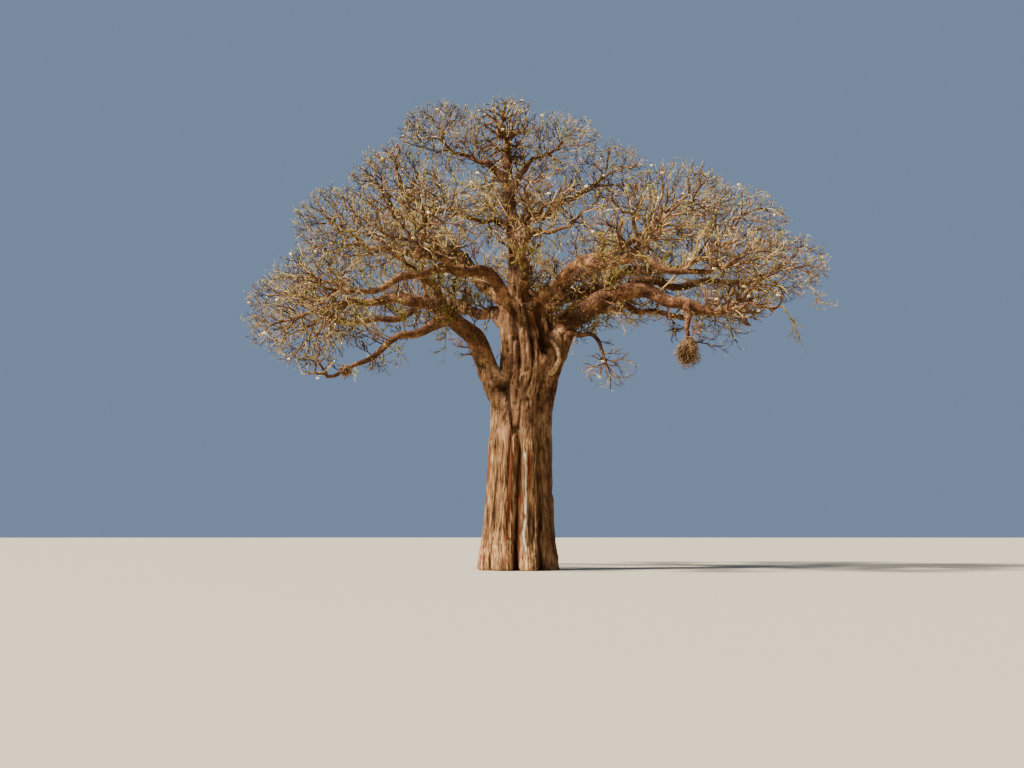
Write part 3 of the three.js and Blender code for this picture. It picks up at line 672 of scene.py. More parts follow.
# %% Marks on the trunk
# Painted shade: the colour is darkened in the grooves, the folds, the seams and between the healed ridges, and on the
# right side turned from the lamp. All of it goes into the groove mark.
shade_in_grooves = np.clip(6 * groove_depth(bearing, height) - 0.9, 0, 1) ** 1.5 * (0.4 + 0.5 * stripped)
shade_in_folds = 0.75 * np.clip(9 * fold_depth(bearing, height) - 0.6, 0, 1)
shade_between_ridges = 0.65 * stripped * np.clip(0.2 - healed, 0, 0.5) / 0.5
shade_in_seams = (0.6 - 0.3 * stripped) * seams**2
marks = {"stripped": stripped, "hollow": hollow,
         # The groove mark is painted shade
         "groove": on_trunk * np.maximum.reduce([shade_in_grooves, shade_in_folds, shade_in_seams, 0.4 * old_bark_in_painted_shade, shade_between_ridges]),
         "rust": 0.75 * scar_share(bearing, height, RUST_SCARS, 0.5),
         "cream": 0.9 * scar_share(bearing, height, CREAM_SCARS, 7.5)}
for title, values in marks.items():
    trunk.data.attributes.new(title, "FLOAT", "POINT").data.foreach_set("value", values.astype(np.float32))
    print(title, "covers", round(100 * float(np.mean(values)), 1), "% of the trunk")
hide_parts("trunk")

# %% [markdown]
# ## Boughs
# Each bough is one long tube. The bark swells where a limb leaves another, is lumpy where old twigs fell off,
# and is creased across like skin on a knuckle. All three are changes of the tube's radius. A bough that only
# goes on from another's tip is drawn with it as a single tube, so no joint shows.

# %% Boughs
# The space between rings, how much a bough swells where it leaves another and over what length that fades, and the
# size of lumps and knuckles as shares of its radius
RING_STEP, COLLAR, COLLAR_FADE = 0.085, 0.4, 0.35
LUMPS, KNUCKLES = 0.11, 0.035
GOES_ON = {foot[0]: name for name, foot, _, _, _ in BOUGHS if foot[1] == 1 and isinstance(foot[0], str)}
for order, (name, foot, _, _, _) in enumerate(BOUGHS):
    if name in GOES_ON.values():
        continue
    shares, ways = spaced_shares(curves[name], RING_STEP)
    path, radii = curves[name](shares), bough_radius(name, shares)
    if name in GOES_ON:
        shares, more = spaced_shares(curves[GOES_ON[name]], RING_STEP)
        path = np.concatenate([path, curves[GOES_ON[name]](shares)[1:]])
        radii = np.concatenate([radii, bough_radius(GOES_ON[name], shares)[1:]])
        ways = np.concatenate([ways, ways[-1] + more[1:]])
    kept = ways >= TRUNK_FOOT.get(name, 0)
    path, radii, ways = path[kept], radii[kept], ways[kept]
    if isinstance(foot[0], str):
        inside = bough_radius(foot[0], foot[1])
        radii = radii * (1 + COLLAR * np.exp(-np.clip(ways - inside, 0, None) / COLLAR_FADE))
    sides = int(np.clip(2 * np.pi * radii.max() / RING_STEP, 12, 44))
    rings = rings_along(path[None], radii[None], sides)
    places = on_circle(2 * np.pi * np.arange(sides) / sides, ways[:, None])
    lumps = soft_noise(places * (1.3, 1.3, 1.6) + order, 21)
    knuckles = soft_noise(places * (1.6, 1.6, 7.0) + order, 22)
    ends = np.minimum(1, (ways[-1] - ways) / 0.3)[:, None]
    swell = 1 + ends * (LUMPS * lumps + KNUCKLES * knuckles)
    rings = path[None, :, None] + (rings - path[None, :, None]) * swell[None, :, :, None]
    closing = path[-1] + unit(path[-1] - path[-2]) * radii[-1] * 0.6
    points, groups, _ = close_tubes(rings, closing[None])
    limb = make_piece(name + "_limb", points, groups, [bough_bark])
    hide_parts(name, *([GOES_ON[name]] if name in GOES_ON else []))

# %% [markdown]
# ## How the crown grows
# The solid model grows each mass of twigs by one rule. Evenly spread places inside the mass are tried one after
# another. Each is joined by a short curve to the cheapest place on what has grown so far, where a long or
# sharply turning curve costs more. Here the same rule starts with the same places, so the same strong twigs
# come first, and then it simply goes on for hundreds more, which gives the fine ones. A branch's thickness
# follows from how many ends it feeds, as in real trees.

# %% Crown numbers
# Name, the bough that carries it, middle, half size, twigs in the solid, and how full it is of finer twigs
MASSES = [
    ("twigs_far_left", "bough_left_reach", (-9.75, -1.2, 11.4), (3.0, 2.9, 2.6), 21, 1),
    ("twigs_left_low", "bough_left_low", (-8.85, -2.9, 9.2), (1.05, 1.2, 0.85), 8, 1),
    ("twigs_left_middle", "bough_left_branch", (-6.3, -4.3, 14.2), (2.5, 2.5, 1.9), 18, 1),
    ("twigs_left_shoulder", "bough_left_shoulder", (-8.4, 1.7, 16.1), (2.7, 3.0, 2.3), 21, 1),
    ("twigs_upper_left", "bough_left_up", (-5.6, 0.3, 17.8), (2.7, 2.9, 2.2), 20, 1.2),
    ("twigs_top_left", "leader_left", (-3.5, -0.7, 19.8), (2.4, 2.7, 1.8), 16, 1.3),
    ("twigs_top", "leader", (-0.7, -0.1, 20.15), (2.3, 2.5, 1.85), 16, 1),
    ("twigs_top_right", "leader_right", (1.8, -0.6, 19.5), (2.3, 2.7, 1.5), 15, 1),
    ("twigs_inner_left", "leader_low_left", (-3.3, -2.8, 16.2), (2.2, 2.3, 1.8), 14, 0.8),
    ("twigs_inner_right", "leader_low_right", (2.7, -1.7, 15.9), (1.7, 1.9, 1.5), 10, 1),
    ("twigs_shelf", "leader_shelf", (4.2, 0.7, 18.5), (2.2, 2.5, 1.7), 15, 1),
    ("twigs_top_back", "leader_back", (-0.8, 4.6, 18.4), (3.2, 2.6, 2.2), 17, 1),
    ("twigs_right_low", "bough_right_reach", (10.0, -1.9, 12.0), (2.0, 2.2, 1.25), 12, 1),
    ("twigs_far_right", "bough_right_outer", (11.95, 0.1, 13.85), (2.6, 2.7, 1.75), 17, 1),
    ("twigs_right_shoulder", "bough_right_mid", (10.35, 2.6, 16.3), (3.0, 3.0, 2.3), 20, 1),
    ("twigs_right_high", "bough_right_high", (7.1, -1.7, 16.4), (2.7, 2.9, 2.1), 19, 1.2),
    ("twigs_droop", "bough_droop", (3.9, -2.5, 8.8), (1.4, 1.3, 1.1), 8, 1),
    ("twigs_front_left", "bough_front_left", (-3.7, -8.4, 13.6), (2.7, 2.6, 2.0), 18, 0.65),
    ("twigs_front", "bough_front", (0.3, -7.4, 14.9), (2.7, 2.9, 1.9), 18, 0.4),
    ("twigs_front_right", "bough_front_right", (4.5, -8.3, 13.6), (2.7, 2.6, 1.9), 18, 0.65),
    ("twigs_front_left_low", "bough_front_left_low", (-8.2, -5.9, 11.95), (2.35, 2.6, 1.75), 17, 0.8),
    ("twigs_front_right_low", "bough_front_right_low", (9.3, -5.5, 13.05), (2.5, 2.7, 1.65), 17, 0.8),
    ("twigs_back_left", "bough_back_left", (-5.0, 8.4, 14.7), (3.0, 2.9, 2.2), 17, 1),
    ("twigs_back", "bough_back", (0.5, 8.9, 15.3), (2.9, 2.9, 2.3), 16, 1),
    ("twigs_back_right", "bough_back_right", (5.6, 8.2, 14.6), (3.0, 2.9, 2.2), 17, 1),
    ("twigs_back_left_low", "bough_back_left_low", (-9.9, 5.0, 12.8), (2.7, 2.8, 2.1), 16, 1),
    ("twigs_back_right_low", "bough_back_right_low", (10.2, 5.3, 13.4), (2.7, 2.8, 1.9), 15, 1),
]
CROWN_PARTS = {
    "left": ("far_left", "left_low", "left_middle", "left_shoulder", "upper_left", "inner_left"),
    "top": ("top_left", "top", "top_right", "shelf", "top_back", "inner_right"),
    "right": ("right_low", "far_right", "right_shoulder", "right_high", "droop"),
    "front": ("front_left", "front", "front_right", "front_left_low", "front_right_low"),
    "back": ("back_left", "back", "back_right", "back_left_low", "back_right_low"),
}
# Nest, the bough it hangs on, share along it, how far below, half size
NESTS = [
    ("nest_right", "bough_hang", 1, 0.47, (0.59, 0.56, 0.72)),
    ("nest_left", "bough_left_low", 0.91, 0.07, (0.34, 0.34, 0.31)),
]
# The solid model's rule: powers that draw places outwards at first, at last, and after how many tries. Then what
# way already gone and turning back cost, how far a twig follows its parent's heading, its step, and margins
SPREAD = (0.35, 0.8, 200)
THRIFT, TURN_COST, TWIG_LEAD, TWIG_STEP = 0.32, 0.45, 0.34, 1.8
TWIG_MARGIN, LIMB_MARGIN = 0.09, 0.18
BLOSSOM_EVERY, MOST_TRIES = 7, 400
# The finer twigs: how many for the product of the half sizes, how many tries, the step, how far points stray, and
# how far a strong twig's points kink and its pieces bow out, the last as a share of the piece's length
ENDS_PER_SPACE, FINE_TRIES, FINE_STEP, STRAY = 31, 3000, 0.3, 0.035
KINK, BOW = 0.03, 0.13
MIDDLES = np.array([row[2] for row in MASSES])
HALVES = np.array([row[3] for row in MASSES])
SIZES = HALVES.mean(axis=1)

limb_marks = []
for name, *_ in BOUGHS:
    shares = np.linspace(0, 1, 40)
    limb_marks.append(np.column_stack([curves[name](shares), bough_radius(name, shares)]))
for _, carrier, share, drop, half in NESTS:
    limb_marks.append(np.array([[*(curves[carrier](share) - UP * drop), max(half)]]))
limb_marks = np.concatenate(limb_marks)


# %% Where a twig may go
def even_place(count):
    """The count-th of places that fill a cube evenly: steps of powers of one irrational root, wrapped round."""
    return 2 * ((0.5 + count / 1.2207440846057596 ** np.array([1, 2, 3])) % 1) - 1


def is_in_space(order, points):
    """Inside the mass's own round space, and nearer to it than to each other mass by a margin. Nearness is the
    squared distance from the middle, less the squared size."""
    inside = (((points - MIDDLES[order]) / HALVES[order]) ** 2).sum(-1) <= 1
    claims = ((points[:, None] - MIDDLES) ** 2).sum(-1) - SIZES**2
    apart = np.linalg.norm(MIDDLES - MIDDLES[order], axis=1)
    ahead = claims - claims[:, [order]] > 2 * apart * TWIG_MARGIN
    ahead[:, order] = True
    return inside & ahead.all(axis=1)


def is_in_ragged(order, points):
    """Inside the mass's space with its round edge dented: the edge lies at 0.82 to 1 of the way out, or at 0.66 to 1
    in masses far in front or behind, by soft noise of the bearing from the middle."""
    away = (points - MIDDLES[order]) / HALVES[order]
    out = np.linalg.norm(away, axis=-1)
    dent = 0.17 if abs(MIDDLES[order, 1]) > 4 else 0.09
    edge = 1 - dent + dent * np.clip(1.6 * soft_noise(away / out[:, None] * 2.1 + 5 * order, 41), -1, 1)
    return (out < edge) & is_in_space(order, points)


def is_clear(points):
    """Farther from every mark on a limb or nest than its radius and a margin."""
    away = np.linalg.norm(points[:, None] - limb_marks[:, :3], axis=-1)
    return (away > limb_marks[:, 3] + LIMB_MARGIN).all(axis=1)


def twig_curve(start, heading, end, pieces):
    """Points of a quadratic curve that first follows the heading for 0.34 of the distance, without its start."""
    bend = start + heading * TWIG_LEAD * np.linalg.norm(end - start)
    s = np.linspace(0, 1, pieces + 1)[1:, None]
    return (1 - s) ** 2 * start + 2 * (1 - s) * s * bend + s**2 * end


# %% One growing mass
class Growth:
    """Nodes in arrays: their points, headings, way from the stem's foot, and the node each one comes from."""

    def __init__(self, start, heading, most):
        self.points, self.headings = np.zeros((most, 3)), np.zeros((most, 3))
        self.ways, self.parents = np.zeros(most), np.full(most, -1)
        self.points[0], self.headings[0] = start, heading
        self.size, self.twigs = 1, []

    def add_path(self, leaves, path):
        steps = np.diff(np.concatenate([self.points[[leaves]], path]), axis=0)
        lengths = np.linalg.norm(steps, axis=1)
        new = np.arange(self.size, self.size + len(path))
        self.points[new], self.headings[new] = path, steps / lengths[:, None]
        self.ways[new] = self.ways[leaves] + np.cumsum(lengths)
        self.parents[new] = np.concatenate([[leaves], new[:-1]])
        self.size += len(path)
        self.twigs.append(np.concatenate([[leaves], new]))
        return new

    def cheapest(self, end):
        """Distance, times 1 and up to 0.9 more for turning back, plus 0.32 of the way already gone."""
        gap = end - self.points[1 : self.size]
        far = np.linalg.norm(gap, axis=1)
        facing = (gap * self.headings[1 : self.size]).sum(1) / far
        return 1 + np.argmin(far * (1 + TURN_COST * (1 - facing)) + THRIFT * self.ways[1 : self.size])


def twig_end(order, count):
    """The count-th place tried, drawn outwards by a power of its distance, or None outside the unit ball."""
    place = even_place((order + 1) * 1000 + count)
    out = np.linalg.norm(place)
    power = SPREAD[0] + (SPREAD[1] - SPREAD[0]) * min(1, count / SPREAD[2])
    return None if out > 1 else MIDDLES[order] + place * out ** (power - 1) * HALVES[order]


def try_twig(order, growth, end, step):
    """The node a twig to this end would leave, and its path, or None if it leaves the space or touches a limb."""
    leaves = growth.cheapest(end)
    start = growth.points[leaves]
    pieces = max(1, int(np.ceil(np.linalg.norm(end - start) / step)))
    path = twig_curve(start, growth.headings[leaves], end, pieces)
    halfway = (path + np.concatenate([start[None], path[:-1]])) / 2
    if is_in_space(order, path).all() and is_clear(np.concatenate([path, halfway])).all():
        return leaves, path
    return None


def try_on(order, growth, count, most_twigs, last_try, is_inside, step, sway=None):
    """Tries one place after another until there are enough twigs, and returns the next count. With sway, a twig's
    points stray a little, but for its last one."""
    while len(growth.twigs) <= most_twigs and count < last_try:
        end = twig_end(order, count)
        found = end is not None and is_inside(order, end[None])[0] and try_twig(order, growth, end, step)
        if found:
            leaves, path = found
            if sway:
                path[:-1] += sway.normal(0, STRAY, path[:-1].shape)
            growth.add_path(leaves, path)
        count += 1
    return count


# %% Grow a mass
def grow_mass(order):
    """First the strong twigs of the solid model, then each of them again in short steps with a slight zigzag, and
    then finer twigs by the same rule. Returns the growth and the ends of the strong twigs that blossom."""
    _, carrier, _, _, tips, fullness = MASSES[order]
    heading = heading_of(curves[carrier], 1)
    start = curves[carrier](1) + heading * CLEARANCE
    strong = Growth(start, heading, 200)
    stem_length = np.linalg.norm(MIDDLES[order] - start)
    strong.add_path(0, twig_curve(start, heading, MIDDLES[order], max(2, int(np.ceil(stem_length / TWIG_STEP)))))
    count = try_on(order, strong, 1, tips, MOST_TRIES, is_in_space, TWIG_STEP)

    fine = Growth(start - heading * 0.25, heading, 12000)
    fine.add_path(0, start[None])
    same = {0: 1}
    sway = np.random.default_rng(100 + order)
    for twig in strong.twigs:
        leaves, reached = twig[0], strong.points[twig[-1]]
        length = np.linalg.norm(reached - strong.points[leaves])
        pieces = len(twig) - 1
        more = max(2, round(length / pieces / FINE_STEP))
        path = twig_curve(strong.points[leaves], strong.headings[leaves], reached, pieces * more)
        kinks = sway.normal(0, KINK, path.shape)
        bows = np.repeat(sway.normal(0, BOW * length / pieces, (pieces, 3)), more, axis=0)
        kinks += bows * np.sin(np.pi * (1 + np.arange(pieces * more) % more) / more)[:, None]
        kinks[more - 1 :: more] = 0
        new = fine.add_path(same[leaves], path + kinks)
        same.update(zip(twig[1:], new[more - 1 :: more]))
    blossoming = [strong.points[twig[-1]] for twig in strong.twigs[BLOSSOM_EVERY - 1 :: BLOSSOM_EVERY]]
    most_ends = int(ENDS_PER_SPACE * fullness * HALVES[order].prod())
    try_on(order, fine, count, most_ends, count + FINE_TRIES, is_in_ragged, FINE_STEP, sway)
    return fine, blossoming


growths = [grow_mass(order) for order in range(len(MASSES))]
print(sum(len(growth.twigs) for growth, _ in growths), "twigs in", len(growths), "masses")


# %% [markdown]
# ## Twigs as tubes
# By the pipe rule, a branch is as thick as the pipes that run through it to its ends, so its radius goes with
# a power of the count of ends. Stout baobab twigs take the power 0.42. The sun bleaches twigs unevenly, and young
# ones are greener, so each spray gets one of four plain tones of dry wood instead of a pattern that would be
# lost at this size.

# %% Tones of the sprays
SPRAY_TONES = [
    plain_finish("sun_bleached_twig", "bfa376", 0.85),
    plain_finish("dark_brown_twig", "56422f", 0.85),
    plain_finish("olive_twig", "91834a", 0.8),
    plain_finish("red_brown_twig", "83624a", 0.88),
]
SPRAY_SHARES = (0.24, 0.36, 0.18, 0.22)
BUD_TONES = [
    plain_finish("yellow_green_bud", "b3a856", 0.7),
    plain_finish("ochre_bud", "a8834f", 0.75),
    plain_finish("green_bud", "8c8c47", 0.7),
]
BUD_SHARES = (0.5, 0.25, 0.25)
BUD_HALVES = (0.055, 0.033)


def add_chains(heap, chains, finish):
    """Tubes along paths (points, radii, sides) that are worked out together where they have the same count of
    points and sides. Each tip stands one radius beyond its last ring."""
    by_shape = {}
    for (points, radii, sides), tone in zip(chains, finish):
        by_shape.setdefault((len(points), sides), []).append((points, radii, tone))
    for (_, sides), rows in by_shape.items():
        paths, radii, tones = (np.array(column) for column in zip(*rows))
        tips = paths[:, -1] + unit(paths[:, -1] - paths[:, -2]) * radii[:, -1:]
        heap.add(close_tubes(rings_along(paths, radii, sides), tips), tones)


# %% Twigs of a mass
# Twigs are at least 25 mm thick, so that none is lost in the picture, and only their tips are finer
THINNEST, TIP_RADIUS = 0.0125, 0.007
BRANCHING = 0.42
# Least radius and count of sides
SIDES_OF = ((0.05, 9), (0.025, 6), (0.016, 4), (0, 3))


def loads_of(growth):
    """How many ends each node feeds: one for each twig, counted down to the root."""
    loads = np.zeros(growth.size)
    np.add.at(loads, [twig[-1] for twig in growth.twigs[1:]], 1)
    for node in range(growth.size - 1, 0, -1):
        loads[growth.parents[node]] += loads[node]
    return loads


def twig_chains(growth, loads, stem_radius):
    """Each twig's points, radii and sides. The stem starts inside its bough, and a twig's swollen foot is sunk
    back into the twig it leaves."""
    radii_of = np.maximum(stem_radius * (loads / loads[0]) ** BRANCHING, THINNEST)
    chains = []
    for order, twig in enumerate(growth.twigs[1:]):
        nodes = np.concatenate([[0], twig]) if order == 0 else twig
        points = growth.points[nodes].copy()
        radii = np.concatenate([[radii_of[nodes[1]]], radii_of[nodes[1:]]])
        if order > 0:
            points[0] -= growth.headings[nodes[0]] * 0.8 * radii[0]
            radii[0] *= 1.3
        if loads[nodes[-1]] == 1:
            radii[-1] = TIP_RADIUS
        chains.append((points, radii, next(sides for least, sides in SIDES_OF if radii[1] > least)))
    return chains


# %% [markdown]
# ## Twiglets, buds, blossoms and husks
# The thinnest twigs carry short twiglets that bend upwards, and many of those end in a yellow-green bud. White
# blossoms as wide as a hand hang from some twigs, and older ones have dried to orange husks.


# %% Twiglets and buds
def grow_twiglets(points, headings, outward, seed, lengths=(0.2, 0.48)):
    """Paths (twiglet, 3, 3): each leaves its point between the twig's heading, the outward way and a random one,
    and bends up halfway."""
    sway = np.random.default_rng(seed)
    ways = unit(headings + 0.8 * unit(sway.normal(size=points.shape)) + 0.35 * outward + (0, 0, 0.22))
    length = sway.uniform(*lengths, len(points))[:, None]
    knees = points + ways * length * 0.55
    bends = unit(ways + 0.55 * unit(sway.normal(size=points.shape)) + (0, 0, 0.35))
    return np.stack([points - headings * 0.01, knees, knees + bends * length * 0.5], axis=1)


def twiglet_tubes(paths):
    """Three-sided tubes of two rings and a tip."""
    return pointed_tubes(paths, np.broadcast_to((0.0125, 0.0105, 0.006), paths.shape[:2]), 3)


def spindles(middles, ways, half_length, half_width):
    """Eight-faced spindles: four points round the middle and one at each end."""
    across = unit(np.cross(ways, OFF_AXIS))
    upright = np.cross(ways, across)
    ring = np.stack([across, upright, -across, -upright], axis=1) * half_width + middles[:, None]
    ends = np.stack([middles + ways * half_length, middles - ways * half_length], axis=1)
    faces = np.array([(k, (k + 1) % 4, 4) for k in range(4)] + [((k + 1) % 4, k, 5) for k in range(4)])
    first = (np.arange(len(middles)) * 6)[:, None, None]
    owner = np.repeat(np.arange(len(middles)), 8)
    return np.concatenate([ring, ends], axis=1).reshape(-1, 3), [(first + faces).reshape(-1, 3)], [owner]


def add_buds(heap, twiglets, share, sway):
    """A bud on the tips of this share of the twiglets, in line with each twiglet's last stretch."""
    tips = twiglets[sway.random(len(twiglets)) < share]
    ways = unit(tips[:, 2] - tips[:, 1])
    heap.add(spindles(tips[:, 2], ways, *BUD_HALVES), sway.choice(3, len(tips), p=BUD_SHARES))


# %% Dress a mass
# The radius from which a twig counts as a branch, and the shares of twiglets with buds and of twigs with blossoms
# and husks
STOUT, BUDDING, BLOSSOMING, HUSKED = 0.03, 0.24, 0.009, 0.012


def dress_mass(order, wood, sprays, buds):
    """Adds a mass to the heaps of stout branches, thin sprays and buds. Twiglets thin out towards the mass's middle.
    Returns the places where blossoms and husks hang."""
    growth, blossoming = growths[order]
    loads = loads_of(growth)
    chains = twig_chains(growth, loads, RADII[MASSES[order][1]][1])
    tones = np.random.default_rng(300 + order).choice(4, len(growth.twigs), p=SPRAY_SHARES)
    is_stout = np.array([radii[1] > STOUT for _, radii, _ in chains])
    stout, thin = np.flatnonzero(is_stout), np.flatnonzero(~is_stout)
    add_chains(wood, [chains[k] for k in stout], 0 * stout)
    add_chains(sprays, [chains[k] for k in thin], tones[thin])
    twig_of = np.zeros(growth.size, dtype=int)
    for k, twig in enumerate(growth.twigs):
        twig_of[twig[1:]] = k
    bearing = np.repeat(np.flatnonzero(loads == 1), 2)
    outward = unit(growth.points[bearing] - MIDDLES[order])
    paths = grow_twiglets(growth.points[bearing], growth.headings[bearing], outward, 400 + order)
    sway = np.random.default_rng(500 + order)
    out = np.linalg.norm((paths[:, -1] - MIDDLES[order]) / HALVES[order], axis=1)
    kept = (out < 0.98) & (sway.random(len(out)) < np.clip(2.4 * out - 0.85, 0.22, 1))
    sprays.add(twiglet_tubes(paths[kept]), tones[twig_of[bearing[kept]] - 1])
    add_buds(buds, paths[kept], BUDDING, sway)
    ends = growth.points[[twig[-1] for twig in growth.twigs[2:]]]
    more_blossoms = list(ends[sway.random(len(ends)) < BLOSSOMING])
    return blossoming + more_blossoms, list(ends[sway.random(len(ends)) < HUSKED])


# %% Dress the crown
orders = {row[0]: k for k, row in enumerate(MASSES)}
ends_for_blossoms, ends_for_husks = [], []
for part, titles in CROWN_PARTS.items():
    wood, sprays, buds = Heap(), Heap(), Heap()
    masses = ["twigs_" + title for title in titles]
    for mass in masses:
        blossoming, husked = dress_mass(orders[mass], wood, sprays, buds)
        ends_for_blossoms += blossoming
        ends_for_husks += husked
    branches = wood.make("crown_" + part + "_branches", [twig_bark])
    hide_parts(*masses)
    for piece in (branches, sprays.make("crown_" + part + "_sprays", SPRAY_TONES)):
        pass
    buds.make("crown_" + part + "_buds", BUD_TONES)

# %% Blossoms and husks
petal_white = plain_finish("waxy_petal", "f3e5ba", 0.6)
stamen_cream = plain_finish("dusty_stamens", "e6d296", 0.9)
husk_orange = plain_finish("dried_petal", "a8672f", 0.8)


def petal_rings(count):
    """The petals of one blossom: paths that leave the stalk, spread and fall back round it, with flat rings as wide
    as the petal is there."""
    turn = 2 * np.pi * np.arange(count) / count
    out = np.array([0.01, 0.044, 0.07, 0.068])
    fall = np.array([0.0, -0.01, -0.045, -0.08])
    width = np.array([0.026, 0.044, 0.048, 0.035])
    ways, across = on_circle(turn), on_circle(turn + np.pi / 2)
    paths = out[:, None] * ways[:, None] + fall[:, None] * UP
    ring = np.array([(1, 0), (0, 1), (-1, 0), (0, -1)])
    flat = across[:, None, None] * (ring[:, :1] * width[:, None, None]) + 0.004 * UP * ring[:, 1:]
    return paths[:, :, None] + flat, paths[:, -1] + 0.01 * ways - (0, 0, 0.015)


petals, petal_tips = petal_rings(5)
middles = np.array(ends_for_blossoms) - (0, 0, 0.05)
turned = np.random.default_rng(7).uniform(0, 2 * np.pi, len(middles))
cosine, sine, none = np.cos(turned), np.sin(turned), 0 * turned
turns = np.stack([cosine, -sine, none, sine, cosine, none, none, none, 1 + none], axis=-1).reshape(-1, 3, 3)
rings = np.einsum("bij,prsj->bprsi", turns, petals) + middles[:, None, None, None]
tips = np.einsum("bij,pj->bpi", turns, petal_tips) + middles[:, None]
blossoms = Heap()
blossoms.add(close_tubes(rings.reshape(-1, *rings.shape[2:]), tips.reshape(-1, 3)), 0)
down = np.broadcast_to((0.0, 0.0, -1.0), middles.shape)
blossoms.add(spindles(middles - (0, 0, 0.055), down, 0.05, 0.045), 1)
blossoms.make("blossoms", [petal_white, stamen_cream])

husks = Heap()
middles = np.array(ends_for_husks) - (0, 0, 0.07)
down = unit(np.random.default_rng(8).normal(0, 0.25, middles.shape) - (0, 0, 1))
husks.add(spindles(middles, down, 0.09, 0.05), 0)
husks.make("dried_husks", [husk_orange])
print(len(ends_for_blossoms), "blossoms and", len(middles), "husks")

# %% [markdown]
# ## Shoots on the boughs
# Short leafless shoots stand up from the boughs and hang below them. Each is a bent stem with twiglets, and it
# starts inside its bough so that it is seen to grow out of it. A few long thin twigs also droop from the crown's
# lower edge and in front of the fork.

# %% Shoots on the boughs
# Shoots for each metre, the share of long ones, the share of twiglets with buds, and sprigs on a long shoot
SHOOTS_PER_METRE, LONG_SHOOTS, SHOOTS_BUDDING, SPRIGS = 3.2, 0.4, 0.12, 5


def bent_stems(start, way, length, lift, sway):
    """Paths (stem, 5, 3): straight along the way, lifted by the squared distance, with small random kinks."""
    steps = np.linspace(0, 1, 5)[None, :, None]
    rise = lift[:, None, None] * (length[:, None, None] * steps) ** 2 * UP
    paths = start[:, None] + way[:, None] * length[:, None, None] * steps + rise
    paths[:, 1:] += sway.normal(0, 0.05, paths[:, 1:].shape) * np.minimum(1, length)[:, None, None]
    return paths


SHOOT_HEAPS = {"shoots_on_side_boughs": Heap(), "shoots_on_front_and_back_boughs": Heap()}
shoot_buds = Heap()


def add_shoots(heap, start, way, length, lift, sway):
    """Bent stems with twiglets and buds. Stems over 0.8 m carry five sprigs each."""
    stems = bent_stems(start, way, length, lift, sway)
    tones = sway.choice(4, len(start), p=SPRAY_SHARES)
    heap.add(pointed_tubes(stems, np.linspace(1, 0.35, 5) * (0.013 + 0.014 * length)[:, None], 4), tones)
    longer = np.repeat(np.flatnonzero(length > 0.8), SPRIGS)
    node = np.tile(np.arange(SPRIGS), len(longer) // SPRIGS) % 3 + 1
    headings = unit(np.gradient(stems, axis=1))
    facing = unit(headings[longer, node] + 0.9 * unit(sway.normal(size=(len(longer), 3))))
    reach = sway.uniform(0.35, 0.85, len(longer))
    sprigs = bent_stems(stems[longer, node], facing, reach, np.full(len(longer), 0.2), sway)
    heap.add(pointed_tubes(sprigs, np.broadcast_to(np.linspace(0.018, 0.009, 5), sprigs.shape[:2]), 3), tones[longer])
    every = np.concatenate([stems, sprigs])
    headings = np.repeat(unit(np.gradient(every, axis=1))[:, 1:], 2, axis=1).reshape(-1, 3)
    bases = np.repeat(every[:, 1:], 2, axis=1).reshape(-1, 3)
    twiglets = grow_twiglets(bases, headings, headings, int(sway.integers(1000, 9000)), (0.16, 0.4))
    heap.add(twiglet_tubes(twiglets), np.repeat(np.concatenate([tones, tones[longer]]), 8))
    add_buds(shoot_buds, twiglets, SHOOTS_BUDDING, sway)


for order, (name, *_) in enumerate(BOUGHS):
    is_deep = "front" in name or "back" in name
    heap = SHOOT_HEAPS["shoots_on_front_and_back_boughs" if is_deep else "shoots_on_side_boughs"]
    sway = np.random.default_rng(600 + order)
    shares, ways = spaced_shares(curves[name], 0.1)
    first = TRUNK_FOOT.get(name, 0.4) / ways[-1]
    per_metre = SHOOTS_PER_METRE / (4 if name == "leader" else 1)
    at = sway.uniform(min(first, 0.9), 1, int(ways[-1] * per_metre))
    along = unit(curves[name](np.clip(at + 0.01, 0, 1)) - curves[name](np.clip(at - 0.01, 0, 1)))
    aside = sway.normal(size=along.shape) + (0, 0, 0.3)
    aside = unit(aside - (aside * along).sum(-1, keepdims=True) * along)
    is_long = (sway.random(len(at)) < LONG_SHOOTS) & (aside[:, 2] > -0.1)
    length = np.where(is_long, sway.uniform(1.0, 2.0, len(at)), sway.uniform(0.3, 1.1, len(at)))
    start = curves[name](at) + aside * (bough_radius(name, at)[:, None] - 0.05)
    add_shoots(heap, start, unit(aside + 0.5 * along), length, np.where(aside[:, 2] < -0.1, -0.3, 0.16), sway)

# %% Hanging twigs
# A place by the foot, the way out to the right, and the length
HANGING = [((11.6, -2.2, 11.3), 0.45, 1.7), ((13.4, -0.4, 12.8), 0.5, 1.0), ((6.3, -1.9, 11.6), 0.1, 1.2),
           ((9.4, -2.0, 11.0), 0.2, 1.1), ((-3.2, -1.3, 11.2), -0.15, 1.6), ((-6.4, -1.7, 9.9), 0.2, 0.8),
           ((1.1, -1.5, 12.2), 0.5, 1.5), ((0.5, -1.4, 12.0), -0.5, 1.2), ((2.2, -1.2, 11.7), -0.3, 1.3)]
holds = np.concatenate([growth.points[1 : growth.size] for growth, _ in growths] + [limb_marks[:, :3]])
feet = np.array([holds[np.linalg.norm(holds - place, axis=1).argmin()] for place, _, _ in HANGING])
ways = unit(np.array([(lean, -0.15, -0.75) for _, lean, _ in HANGING]))
lengths = np.array([length for _, _, length in HANGING])
add_shoots(SHOOT_HEAPS["shoots_on_side_boughs"], feet, ways, lengths, np.full(len(feet), -0.2),
           np.random.default_rng(650))
for title, heap in SHOOT_HEAPS.items():
    heap.make(title, SPRAY_TONES)
shoot_buds.make("shoot_buds", BUD_TONES)

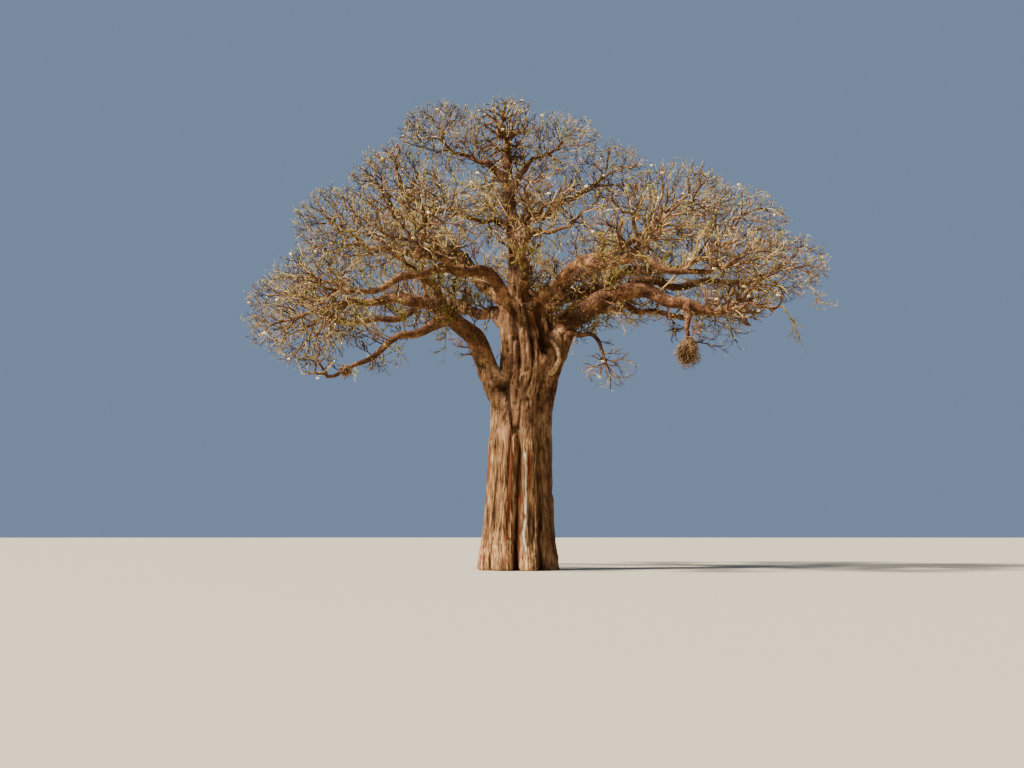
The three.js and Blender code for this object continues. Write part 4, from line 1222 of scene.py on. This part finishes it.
# %% A dead stub
# One dead stub hangs from the right shoulder of the trunk, bleached and bare
stub_path = np.array([(1.4, -0.8, 10.4), (1.52, -1.15, 10.15), (1.72, -1.38, 9.75), (1.78, -1.44, 9.35),
                      (1.6, -1.42, 8.95), (1.38, -1.38, 8.7)])
stub_radii = np.array([0.1, 0.1, 0.095, 0.1, 0.12, 0.13])
stub = close_tubes(rings_along(stub_path[None], stub_radii[None], 10), np.array([[1.3, -1.37, 8.62]]))
# Bare dead wood is paler than any bark, almost bone
dead_wood = whole_bark("sun_bleached_dead_wood", ("7a5a42", "e0c4a0", "bd9b78"), 0.3, 0.03)
make_piece("dead_stub", *stub[:2], [dead_wood])

# %% [markdown]
# ## Nests
# Two untidy balls of dry sticks sit in the lower boughs. A matted core fills the middle, and some hundreds of
# bowed sticks lie round it in every direction, with loose ones that hang out below.

# %% Nests
matted_straw = whole_bark("matted_dry_straw", ("3a2a20", "86674c", "5e4635"), 0.08, 0.03)
STRAW_TONES = [
    plain_finish("dry_straw", "b08f6a", 0.9),
    plain_finish("weathered_stick", "735844", 0.92),
    plain_finish("pale_straw", "c9ad86", 0.9),
]
NEST_STICKS, LOOSE_STICKS = (760, 260), 0.34
for order, (name, carrier, share, drop, half) in enumerate(NESTS):
    middle, half = curves[carrier](share) - UP * drop, np.array(half)
    turn, level = np.meshgrid(np.linspace(0, 2 * np.pi, 40, endpoint=False), np.linspace(-0.46, 0.46, 21) * np.pi)
    ball = on_circle(turn, np.sin(level), np.cos(level))
    dents = 0.58 + 0.2 * soft_noise(ball * 2 + order * 9, 31) + 0.05 * soft_noise(ball * 9, 32)
    core = close_tubes((middle + ball * dents[..., None] * half)[None], middle[None] + (0, 0, 0.56 * half[2]))
    make_piece(name + "_core", *core[:2], [matted_straw])
    sway = np.random.default_rng(800 + order)
    count = NEST_STICKS[order]
    out = unit(sway.normal(size=(count, 3)))
    clumps = soft_noise(out * 2 + order * 9, 31)[:, None]
    depth = sway.uniform(0.5, 1.0, count)[:, None] * (0.9 + 0.4 * clumps)
    loose = (sway.random(count) < LOOSE_STICKS)[:, None]
    lying = unit(np.cross(out, sway.normal(size=(count, 3))) + (0, 0, -0.25))
    way = unit(np.where(loose, out + 0.9 * lying + (0, 0, -0.55), lying))
    length = sway.uniform(0.5, 1.1, count)[:, None] * half.mean() * np.where(loose, 0.95, 1)
    centre = middle + out * depth * half
    bow = -out * 0.16 * length * np.where(loose, 0, 1)
    steps = np.linspace(-0.5, 0.5, 4)[None, :, None]
    paths = centre[:, None] + way[:, None] * length[:, None] * steps + bow[:, None] * (4 * steps**2)
    radii = np.broadcast_to((0.007, 0.009, 0.008, 0.005), (count, 4))
    sticks = Heap()
    sticks.add(pointed_tubes(paths, radii, 3), sway.choice(3, count, p=(0.45, 0.35, 0.2)))
    nest = sticks.make(name + "_sticks", STRAW_TONES)
    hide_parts(name)
